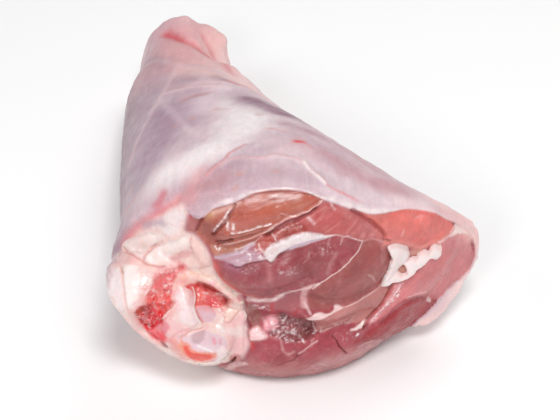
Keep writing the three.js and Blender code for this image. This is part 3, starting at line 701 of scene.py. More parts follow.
def paintStains(coat, here, spots):  # blood, fibres, the painted highlight on the wet flap, and painted shade over the darker flesh of the folds
    ragged = 1 + 0.3 * grain(here, cutGrain["ragged"])
    for line, reach, full, colour in stains.values():
        lay(coat, full * bell(lineDistance(spots, line) * ragged, reach), colour)
    fibre = ramp(grain(here, cutGrain["fibre"]), 0.05, 0.5)
    banded = ramp(outlineDistance(spots, fleshFields["outerBand"][0]), 0.5, -1)
    lay(coat, 0.2 * banded * fibre, cutTones["bandFibre"])
    head = outlineDistance(spots, fleshFields["calfHead"][0])
    lowLeft = ramp(spots[:, 1], 45, 41) * ramp(spots[:, 0], -4, -10)
    lay(coat, 0.7 * between(head, -1.8, -0.2, 0.0, 0.6) * lowLeft, cutTones["headEdge"])
    # painted highlight: the sheen along the top of the flap, broken into streaks
    paintedSheen = bell(lineDistance(spots, sheen["line"]), sheen["reach"])
    lay(coat, paintedSheen * (0.55 + 0.9 * grain(here, cutGrain["paintedSheen"])), sheen["colour"])
    stripe = ramp(outlineDistance(spots, fleshFields["strip"][0]), 0, -1)
    lay(coat, 0.3 * stripe * fibre, cutTones["stripFibre"])
    uneven = 1 + 0.3 * grain(here, cutGrain["uneven"])
    fading = 0.75 + 0.5 * grain(here, cutGrain["fading"])
    # painted shade in the folds and splits, over their darker flesh
    for line, wide, deep, dark in creases.values():
        lay(coat, dark * fading * bell(lineDistance(spots, line) * uneven, wide * 0.8), cutTones["creaseShade"])


def paintFlesh(here):  # colour with its painted highlights, roughness and moisture of the cut
    spots = waver(here[:, [0, 2]], here, *cutTones["waver"])
    coat, shine, wet = paintFields(here, spots)
    paintStains(coat, here, spots)
    sinew = 0.92 + 0.3 * grain(here, cutGrain["sinew"])
    for line, high, colour, full, soft, rough, moist in raisedStrips.values():
        mask = ramp(outlineDistance(spots, line), 0.3, -soft)
        lay(coat, full * mask * sinew, colour)
        shine = mixed(shine, mask, rough)
        wet = mixed(wet, mask, moist)
    broken = 1 + 0.45 * grain(here, cutGrain["broken"])
    for line, wide, full in whiteLines.values():
        far = lineDistance(spots, line) * broken
        lay(coat, full * broken * ramp(far, wide * 1.6, wide * 0.3), cutTones["whiteLine"])
    # painted highlights: glints along the flap's pleats, broken into streaks
    streaked = 0.25 + 0.75 * ramp(grain(here, cutGrain["streak"]), -0.45, 0.35)
    for line, wide, full in glints.values():
        lay(coat, full * streaked * bell(lineDistance(spots, line), wide), cutTones["glint"])
    # painted glints: white flecks on the wet spots, which are also made wet and smooth there
    coarse = ramp(grain(here, cutGrain["coarse"]), 0.15, 0.38)
    fine = ramp(grain(here, cutGrain["sparkle"]), 0.1, 0.4)
    for line, reach, full, large in flecks.values():
        mask = bell(lineDistance(spots, line), reach)
        lay(coat, full * mask * (coarse if large else fine), cutTones["fleck"])
        wet = mixed(wet, mask, 1)
        shine = mixed(shine, mask, cutTones["fleckRough"])
    return coat, shine, wet


skinClouds = {  # broad patches: spine (x, back, z), reach, strength, colour
    # below: painted shade on the left flank, turned from the light, over the skin's own lilac-grey
    "shadedLeftFlank": ([(-50, 20, 30), (-53, 60, 30), (-52, 100, 26), (-50, 130, 24)],
        16, 0.85, (141, 109, 124)),
    "leftTop": ([(-44, 36, 48), (-42, 60, 48), (-42, 90, 43), (-44, 115, 38)], 10, 0.65, (182, 156, 169)),
    "rightSide": ([(30, 40, 50), (22, 60, 48), (10, 90, 40)], 17, 0.85, (203, 152, 161)),
    "hock": ([(-30, 160, 24), (-32, 140, 33), (-34, 128, 36)], 18, 0.95, (226, 166, 168)),
    "hockSide": ([(-21, 156, 22), (-22, 140, 20), (-18, 124, 28), (-12, 108, 36)],
        12, 0.9, (250, 204, 200)),
    "whiteTop": ([(-8, 58, 60), (-11, 45, 63), (-17, 36, 64), (-25, 31, 63), (-34, 28, 59)],
        8, 0.95, (250, 238, 238)),
    "whiteMid": ([(-17, 75, 54), (-14, 62, 58), (-12, 52, 61)], 6, 0.75, (248, 236, 237)),
    "whiteRim": ([(-2, 34, 66), (8, 28, 66.5)], 7, 0.4, (234, 204, 205)),
    "aboveBand": ([(14, 30, 65), (27, 23, 60.5), (37, 24, 57)], 5.5, 0.7, (200, 142, 151)),
    "eyeRim": ([(35, 17, 57.5), (44, 20, 52)], 3, 0.6, (250, 222, 222)),
    "violetA": ([(-38, 79, 47), (-34, 68, 51.5), (-38, 58, 50.5), (-39, 48, 51)],
        9.5, 0.75, (166, 128, 152)),
    "violetB": ([(-46, 50, 46), (-43, 36, 51)], 7, 0.6, (176, 148, 163)),
    "mauve": ([(-29.7, 72, 52), (-27.4, 81.5, 50)], 4.5, 0.2, (182, 150, 168)),
    "mauveLow": ([(-19, 19.5, 66.4), (-15.5, 19.5, 67.8), (-12.6, 20.5, 68.4)],
        3.2, 0.6, (172, 136, 152)),
    "membrane": ([(-20, 12, 67), (-10, 14, 69), (0, 15, 70), (8, 13, 69)], 6.5, 0.85, (194, 163, 174)),
    "blush": ([(-26.5, 12, 64), (-23, 14, 65), (-18, 14, 67)], 5, 0.7, (200, 144, 148)),
    "darkPatch": ([(-8.6, 78, 52.4), (-5.8, 76, 52.8), (-2.6, 73.5, 53), (0.5, 69.5, 53.6),
        (2.4, 66, 54.6)], 6.2, 1, (138, 86, 110)),
    "darkWedge": ([(-8, 73.7, 54.2), (-5.5, 70, 55.4), (-2.8, 67.5, 55.7)], 3.5, 0.6, (150, 106, 128)),
    "violetEdge": ([(1.7, 52.3, 60.7), (5.2, 50.8, 60.5), (9.5, 49.4, 59.6), (14, 49, 57.5),
        (20, 47, 55)], 4.2, 0.8, (186, 140, 156)),
    "greyA": ([(-47, 131, 34), (-41, 122, 38)], 4, 0.7, (166, 138, 150)),
    "greyB": ([(-36, 104, 43), (-30, 103, 44)], 4, 0.65, (178, 144, 156)),
    "greyC": ([(-22, 104.5, 44.5), (-19, 101.5, 45)], 2.4, 0.8, (156, 130, 142)),
    "paleUpper": ([(-18, 92, 48), (-24, 82, 51), (-25, 71, 54)], 5, 0.75, (234, 210, 218)),
    "rightFlank": ([(48, 28, 46), (56, 33, 40), (61, 35, 30)], 7, 0.85, (252, 202, 196)),
    "tanBand": ([(-34, 112, 42), (-26, 108, 43), (-20, 105, 44)], 3, 0.55, (230, 188, 180)),
}

skinLines = {  # lines: spine (x, back, z), reach, strength, colour, lift in mm
    "hockCrease": ([(-43.7, 151, 33), (-39.6, 147.5, 34), (-35.6, 142.4, 35.4), (-31.4, 140, 35),
        (-28, 136, 34.4), (-24.6, 134.7, 32.2), (-22.3, 129.5, 34)], 1.3, 0.7, (206, 92, 100), -0.8),
    "hockLow": ([(-24.2, 132.6, 33.2), (-21.6, 127, 35.6), (-18.6, 120, 38), (-16.4, 114, 39.6)],
        2.0, 0.65, (210, 104, 112), 0),
    "hockRed": ([(-42, 150, 33.3), (-39.6, 147.5, 34), (-36.5, 143.5, 35.2)],
        1.8, 0.7, (204, 80, 88), -0.3),
    "hockRedLow": ([(-26, 135, 33), (-23, 135, 30.5)], 1.5, 0.6, (208, 90, 98), -0.2),
    "hockCreaseB": ([(-28.7, 152.6, 30.6), (-26.9, 151, 27.7), (-25.8, 149, 26), (-24, 144, 26)],
        1.5, 0.5, (218, 108, 118), -0.6),
    "upperRed": ([(-17.4, 101, 44.9), (-14.9, 99.9, 44.6), (-11.7, 101.5, 42.5), (-8.2, 107, 36.5)],
        1.4, 0.7, (208, 106, 114), -0.3),
    "wrinkleA": ([(-39, 95, 43), (-35, 95, 45), (-29, 94, 46.4), (-23, 93.6, 47.3), (-16.6, 91.6, 48)],
        1.1, 0.55, (236, 208, 206), 0.5),
    "wrinkleAshade": ([(-39, 97.5, 43), (-35, 97.5, 44.5), (-29, 96.5, 46), (-22, 96, 47)],
        1.2, 0.4, (206, 156, 158), -0.4),
    "stain": ([(-32, 84.4, 48), (-28.6, 86.1, 48.5), (-24.9, 87.2, 48.9)],
        1.7, 0.65, (184, 128, 130), -0.4),
    "hockEdge": ([(-49, 129, 32.7), (-44.4, 126.6, 36), (-39, 121, 39), (-32, 115.6, 41.3),
        (-25, 110.6, 42.8)], 1.6, 0.3, (228, 196, 194), 0.4),
    "fasciaA": ([(-36, 117, 40), (-38, 106, 41.6), (-40, 96, 42.5), (-41.7, 89, 42.8), (-43.6, 81, 43),
        (-45.4, 73.5, 42.7), (-47.2, 66, 41.8), (-48.6, 59, 40.5)], 1.1, 0.55, (222, 192, 196), 0.3),
    "fasciaB": ([(-40.5, 92, 43), (-36.7, 79.7, 47.3), (-33, 68.7, 51.6), (-28.8, 55, 56.6),
        (-24.7, 46, 60.4)], 1.5, 0.35, (230, 206, 212), 0.3),
    "vessel": ([(-10.6, 32.6, 66.8), (-13.4, 29.3, 67.2), (-15, 28, 67), (-17, 23.4, 67.3),
        (-19.8, 21, 66.4), (-21.4, 19, 65.3)], 0.6, 0.7, (214, 120, 122), 0.2),
    "membraneEdge": ([(-21.4, 19, 65.3), (-18.6, 21, 67), (-15, 24, 67.6), (-10.8, 24, 68.3),
        (-5.4, 22.4, 69), (-1.3, 24.5, 68.8), (3.6, 23.5, 68.7), (7, 21.6, 68.6), (9.7, 16, 68.8),
        (12.9, 12, 68)], 0.8, 0.45, (222, 168, 168), 0.35),
    "whiteVein": ([(7, 21.6, 68.6), (9.3, 15.8, 68.9), (12.9, 11.3, 68.2)],
        0.5, 0.8, (248, 238, 236), 0.15),
    "redDot": ([(5.3, 35.5, 65.8), (6.1, 35.7, 65.6)], 1.5, 0.95, (222, 30, 38), 0),
    "redTail": ([(7.3, 36.4, 65.3), (9.2, 33, 65.8)], 0.6, 0.45, (222, 120, 116), 0),
    "redTailB": ([(5, 39.7, 64.6), (7.2, 39.9, 64)], 0.7, 0.4, (226, 150, 148), 0),
    "pinkStreak": ([(-3.9, 44.8, 63.9), (-0.9, 44.6, 63.8), (2.5, 43.5, 63.8)],
        1.0, 0.4, (224, 160, 158), 0),
    "pinkFurrow": ([(-47.2, 18.7, 38.7), (-45.6, 18, 43.4), (-43.2, 16.7, 47.2), (-40.1, 15.2, 51.1),
        (-36.3, 13.6, 55.4), (-33.3, 13.2, 58.8), (-30.4, 13, 61.2)], 1.6, 0.75, (224, 128, 134), -0.8),
    "blushFurrow": ([(-30.4, 13, 61.2), (-26.5, 11.5, 64), (-25.1, 17.7, 63.9), (-23.6, 21.9, 64.8)],
        2.8, 0.5, (222, 158, 160), -0.3),
    "greyVein": ([(-41, 15.5, 49), (-38, 14, 51.5), (-34.5, 12.5, 53)], 1.3, 0.75, (180, 152, 164), -0.2),
    "redSpot": ([(-34.8, 17.6, 59), (-36, 16, 57)], 2.2, 0.75, (206, 104, 116), -0.2),
    "leftPink": ([(-48, 30, 43.7), (-45.5, 28, 48), (-43.8, 27.4, 50.7)], 1.3, 0.5, (204, 140, 140), 0),
    "leftPinkB": ([(-49.2, 41.7, 40.3), (-46, 35, 47)], 1.0, 0.35, (200, 150, 152), 0),
    "redRim": ([(14, 11, 68), (16, 10, 67), (20, 10, 64.5), (23, 10.5, 62)],
        0.6, 0.6, (216, 110, 112), 0),
}

skinSpots = {  # tan flecks on the skin, (x, back, z), and their reach
    "places": [
        (-6.9, 59.8, 59), (-27.9, 63.6, 54.8), (-33.7, 62.7, 52.7), (-11.8, 15.2, 69), (-1.3, 15.5, 70),
        (-46, 38.9, 46.5), (-12.9, 8.5, 69), (-20.6, 68.2, 55.3), (-17.4, 67, 56), (-2.7, 45, 63.7)],
    "reach": 1.1, "full": 0.6, "colour": (206, 150, 134),
}

skinGrain = {  # noise on the skin: size in mm, octaves, shift
    "drift": (22, 3, 71), "ragged": (7, 3, 37), "streak": ((1.6, 16, 1.6), 3, 83),
    "fibre": ((7, 26, 7), 2, 29), "wavy": (2.5, 2, 53), "swell": (11, 3, 43),
    "furrow": ((1.8, 9, 1.8), 2, 77), "rimBreaks": (3.5, 2, 97),
}

skinTones = {
    "silver": (216, 188, 196), "pale": (234, 216, 220), "mauve": (192, 162, 178), "fibre": (238, 222, 224),
    "rim": (246, 232, 230), "dim": 0.95,  # the whole skin is a little darker than its film
    "rough": 0.42, "wet": 0.12, "fatRough": 0.28, "fatWet": 0.52,
}

skinEdge = {  # the skin's free edge at the lower right, (x, back, z), mm
    "spine": [(60.5, 35, 19), (56.5, 31, 14.5), (50, 25.5, 10), (44, 20, 7)],
    "reach": 6, "high": 2.0, "full": 0.95, "colour": (255, 219, 214),
}

skinRim = {  # the white edge of the cut skin, mm
    "wide": 0.24, "wider": 0.65,  # half width, and what is added where it is broad
    "broadRight": (11, 16, 29, 36), "broadLeft": (-21, -17, -11, -6),  # x from, full, fading, to
    "full": 0.85, "fade": 0.65, "fadeAt": (33, 39),  # it is faint round the eye muscle
    "from": (-22, -16), "above": (36, 42),  # x and z where it begins
    "swell": 0.3, "furrow": 0.08,  # unevenness of the skin behind it
}


def paintSkin(places, out):
    coat = evenCoat(len(places), skinTones["silver"])
    drift = grain(places, skinGrain["drift"])
    lay(coat, 0.5 * ramp(drift, 0.0, 0.5), skinTones["pale"])
    lay(coat, 0.5 * ramp(drift, 0.0, -0.5), skinTones["mauve"])
    ragged = 1 + 0.35 * grain(places, skinGrain["ragged"])
    for spine, reach, full, colour in skinClouds.values():
        lay(coat, full * bell(lineDistance(places, spine) * ragged, reach), colour)
    coat *= (1 + 0.07 * grain(places, skinGrain["streak"]))[:, None]
    lay(coat, 0.16 * ramp(np.abs(grain(places, skinGrain["fibre"])), 0.06, 0.0), skinTones["fibre"])
    coat *= skinTones["dim"]
    fat = ramp(outlineDistance(seen(places), kneeFat["line"]) * ragged, 1.0, -1.0)
    fat *= ramp(places[:, 1], kneeFat["reach"], kneeFat["reach"] - kneeFat["fade"])
    soft = np.nonzero(fat > 0.01)[0]
    coat[soft] = mixed(coat[soft], fat[soft], paintKnuckle(places[soft])[0])
    wavy = 1 + 0.4 * grain(places, skinGrain["wavy"])
    for spine, reach, full, colour, lift in skinLines.values():
        far = lineDistance(places, spine)
        lay(coat, full * bell(far * wavy, reach), colour)
        out += lift * bell(far, reach * 1.2)
    for spot in skinSpots["places"]:
        mask = bell(lineDistance(places, [spot]) * wavy, skinSpots["reach"])
        lay(coat, skinSpots["full"] * mask, skinSpots["colour"])
    return coat, fat


def paintRim(paint, places, flesh, fat):  # the white edge where the skin was cut through
    across = places[:, 0]
    broad = between(across, *skinRim["broadRight"]) + 0.9 * between(across, *skinRim["broadLeft"])
    wide = skinRim["wide"] + skinRim["wider"] * broad
    full = skinRim["full"] - skinRim["fade"] * ramp(across, *skinRim["fadeAt"])
    full *= ramp(across, *skinRim["from"]) * ramp(places[:, 2], *skinRim["above"]) * (1 - fat)
    full *= np.clip(0.75 + 0.9 * grain(places, skinGrain["rimBreaks"]), 0.2, 1)
    lay(paint, full * bell(flesh - wide, wide), skinTones["rim"])


def fleshSide(places):  # below 0 on the cut, above 0 on the skin
    side = ramp(places[:, 0], *meat["sideStart"])
    reach = meat["lowBehind"] + (meat["sideBehind"] - meat["lowBehind"]) * side
    return np.maximum(outlineDistance(seen(places), rim["top"] + rim["right"] + rim["below"]),
                      behindCut(places) - reach)


def nudged(places):
    for at, reach, shift in nudges.values():
        places = places + bell(lineDistance(places, [at]), reach)[:, None] * np.array(shift)
    return places


def meatMesh():  # the meat with its pocket filled, finest at the details
    piece = copyNode("meat", "shankMeat")
    filling = copyNode("fat_pocket", "pocketFilling")
    setPlaces(filling, vertexPlaces(filling) + np.array([0, pocket["flush"], 0]))
    pickOnly(piece, filling)
    bpy.ops.object.join()
    evened(piece, meat["voxel"], meat["rounds"])
    places = nudged(vertexPlaces(piece))
    setPlaces(piece, places)
    shown = outlineDistance(seen(places), kneeFat["cover"]) > -2.5
    face = (behindCut(places) < meat["fineReach"]) & shown
    top = (places[:, 1] < meat["skinReach"]) & (vertexNormals(piece)[:, 2] > 0.3)
    refine(piece, face | top, 2)
    places = vertexPlaces(piece)
    shown = outlineDistance(seen(places), kneeFat["cover"]) > -1
    face = np.nonzero((behindCut(places) < meat["fineReach"]) & shown)[0]
    near = np.zeros(len(places), bool)
    near[face] = nearDetail(places[face][:, [0, 2]])
    x, back, z = places.T
    edge = np.nonzero((x > -30) & (back < 34) & (z > 38))[0]  # the upper part of the skin's rim
    near[edge] |= np.abs(fleshSide(places[edge])) < 1.0
    refine(piece, near, 1)
    return piece


def makeMeat():
    piece = meatMesh()
    places = vertexPlaces(piece)
    normals = vertexNormals(piece)
    flesh = fleshSide(places)
    cut = np.nonzero(flesh < 1.2)[0]
    out = np.zeros(len(places))
    paint, fat = paintSkin(places, out)
    rough = mixed(np.full(len(places), skinTones["rough"]), fat, skinTones["fatRough"])
    wet = mixed(np.full(len(places), skinTones["wet"]), fat, skinTones["fatWet"])
    out += skinRim["swell"] * grain(places, skinGrain["swell"])
    out += skinRim["furrow"] * grain(places, skinGrain["furrow"])
    roll = bell(lineDistance(places, skinEdge["spine"]), skinEdge["reach"])
    lay(paint, skinEdge["full"] * roll * ramp(flesh, 0, 0.8), skinEdge["colour"])
    blend = ramp(flesh[cut], 0.25, -0.25) * (1 - fat[cut])
    for skin, bare in zip((paint, rough, wet), paintFlesh(places[cut])):
        skin[cut] = mixed(skin[cut], blend, bare)
    paintRim(paint, places, flesh, fat)
    places += normals * (out * ramp(flesh, 0, 2) + skinEdge["high"] * roll * ramp(flesh, 0, 3))[:, None]
    shapeCut(places, normals, cut, flesh)
    soft = np.nonzero(fat > 0.01)[0]  # clear of the torn pocket in the knuckle
    hollow = outlineDistance(seen(places[soft]), pits["pocket"][0])
    places[soft] += np.array(knuckle["view"]) * (knuckle["clear"] * ramp(hollow, 0.8, -0.6))[:, None]
    setPlaces(piece, places)
    storePaint(piece, paint, rough, wet)
    finishPiece(piece, "meat", tissue("meatAndSilverSkin", meat["look"]))


# The knuckle: cartilage, fat and torn tissue over the bone's end

knuckle = {
    "voxel": 0.7, "rounds": 9,  # mm, and smoothing rounds after the remesh
    "fineReach": 8, "paintReach": 12,  # mm behind the cut that get finer faces, and paint
    "view": (0, 0.788, -0.616),  # along the line of view
    "deep": 1.5, "ragged": 1.5, "clear": 3.5,  # how deep the tears go, and the meat behind them, mm
    "waver": (0.25, 2.6, 3, (21, 57)),  # reach of the wavering in mm, then its noise
    "wet": 0.35, "tone": 0.91, "uneven": 0.12,
    "look": {"grain": 0.9, "mottle": 0.04, "film": 4, "lift": 0.2, "ripple": 2.0, "swell": 0.45,
             "glow": 0.3, "depth": 1.8, "coatRough": 0.06},
}

kneeTones = {
    "fat": (247, 218, 212), "blush": (240, 194, 190), "frayed": (238, 158, 160),
    # the last two colour painted glints: in the tears, and sparkle on torn fat
    "speck": (236, 160, 158), "torn": (254, 228, 228), "paintedSparkle": (255, 248, 246),
}

kneeGrain = {  # noise on fat and gristle: size in mm, octaves, shift
    "uneven": (3.5, 3, 4), "blush": (6, 3, 15), "frayed": (1.8, 3, 75), "mottle": (2.5, 3, 45),
    "raw": (1.6, 3, 95), "speck": (2.2, 3, 35), "torn": (1.6, 3, 65), "paintedSparkle": (1.1, 2, 85),
    "sink": (2.4, 3, 6),
}

lumps = {  # rolls: path (x, z, behind the cut), radii across and deep, mm
    "lobeInner": ([(-43.7, 32.9, -9.7), (-43.3, 28.2, -13.4), (-43.6, 22.9, -16.4), (-44.1, 20, -17.8)],
        2.9, 3),
    "lobeOuter": ([(-48.4, 30.2, -10.2), (-48.6, 25.4, -14), (-47.7, 21.5, -16.9), (-46.4, 18.5, -18.5)],
        2.3, 2.6),
    "cheek": ([(-48.1, 34.2, 1.7), (-43.6, 37.1, -5.8), (-40.2, 36.8, -6.4), (-37.4, 36.9, -5.6),
        (-34.7, 38.1, -3.5)], 2, 2.2),
    "foldA": ([(-44.3, 40.3, 2), (-41.6, 42.9, 1.9), (-38.3, 46, 1.9), (-36.6, 47.2, 2.1)], 3.2, 2.6),
    "foldB": ([(-38.6, 39.4, -3.5), (-35.7, 42.1, 1.7), (-31.9, 45.8, 1.7), (-28.6, 48.6, 1.7),
        (-26.8, 50.6, 1.6)], 2.7, 2.5),
    "bridgeA": ([(-25, 51.1, 1.6), (-22.9, 49.2, 1.5), (-21.7, 46.8, 0.9), (-20.7, 45, 0.9)], 3.2, 2.6),
    "bridgeB": ([(-32.4, 40.1, 0), (-29.6, 42.2, 1.9), (-26.7, 42.8, 1.5), (-23.4, 43.4, 0.9)], 2.8, 2.4),
    "mauveBed": ([(-31, 42.6, 1.5), (-28.5, 44.6, 1.5), (-26.6, 46, 1.4)], 2.4, 2),
    "ring": ([(-29.9, 34.2, -5), (-28.4, 36.6, -2), (-25.9, 38.4, 0.3), (-22.8, 39, 0.1),
        (-19.7, 38.2, -0.1), (-16.6, 36.3, 0), (-13.8, 34.5, 0.8), (-11.7, 32.9, 1.2)], 1.5, 2.1),
    "strap": ([(-28.7, 31.4, -5.9), (-28.1, 27.8, -7.9), (-27.2, 24.3, -9.4), (-26.2, 21.8, -9.5)],
        2.3, 2.2),
    "knob": ([(-22.6, 26.2, -3.9), (-21.2, 25, -3.7)], 2.2, 2.2),
    "chip": ([(-15, 27.8, 0.6), (-15, 25.4, -0.8)], 1.8, 1.2),
    "smallKnob": ([(-17.7, 21, -5.1)], 1.4, 1.4),
    "sideFat": ([(-11.8, 27.7, 1.6), (-12.6, 22.8, 1.2), (-12.6, 18.1, -0.3), (-12.3, 12.6, -1.1)],
        2.5, 2.4),
    "condyle": ([(-26.4, 11.3, -10), (-22.9, 12.4, -8.5), (-19.1, 13.2, -6.2)], 4.6, 3.8),
    "underStrap": ([(-32.3, 15.7, -11.9), (-29.4, 17, -11.7)], 2.3, 2),
    "pocketFloor": ([(-23.2, 32.6, -0.6), (-20.6, 32.4, 0.9), (-17.6, 32, 1.6)], 2.0, 1.5),
    "lowPad": ([(-44.2, 14.8, -17), (-42.3, 11.3, -12.9), (-39.1, 9.7, -12.4), (-36.2, 9, -12.5)],
        1.8, 1.8),
}

pits = {  # torn hollows: outline (x, z) as seen, share of the depth
    "cavity": ([(-28.7, 41), (-31.6, 38.8), (-33.6, 37.2), (-36.3, 34.8), (-37.6, 31.7), (-38.8, 27.5),
        (-39.5, 24.5), (-41, 21.6), (-42.9, 17.6), (-41.8, 13.8), (-39.8, 11.4), (-37.9, 13.5),
        (-34.8, 18.2), (-34.5, 20.2), (-32.1, 23.7), (-31, 26.8), (-32.1, 28.9), (-31.4, 32.1),
        (-30.8, 35.3), (-28.9, 38.6)], 1),
    "pocket": ([(-28.2, 34.1), (-26, 35.7), (-23.3, 36.5), (-19.7, 36), (-16.6, 34.1), (-14.9, 32.6),
        (-16.4, 30), (-19.2, 28.2), (-21.9, 28.4), (-24.3, 27.7), (-25.3, 29.4), (-26, 32.6)], 0.35),
}

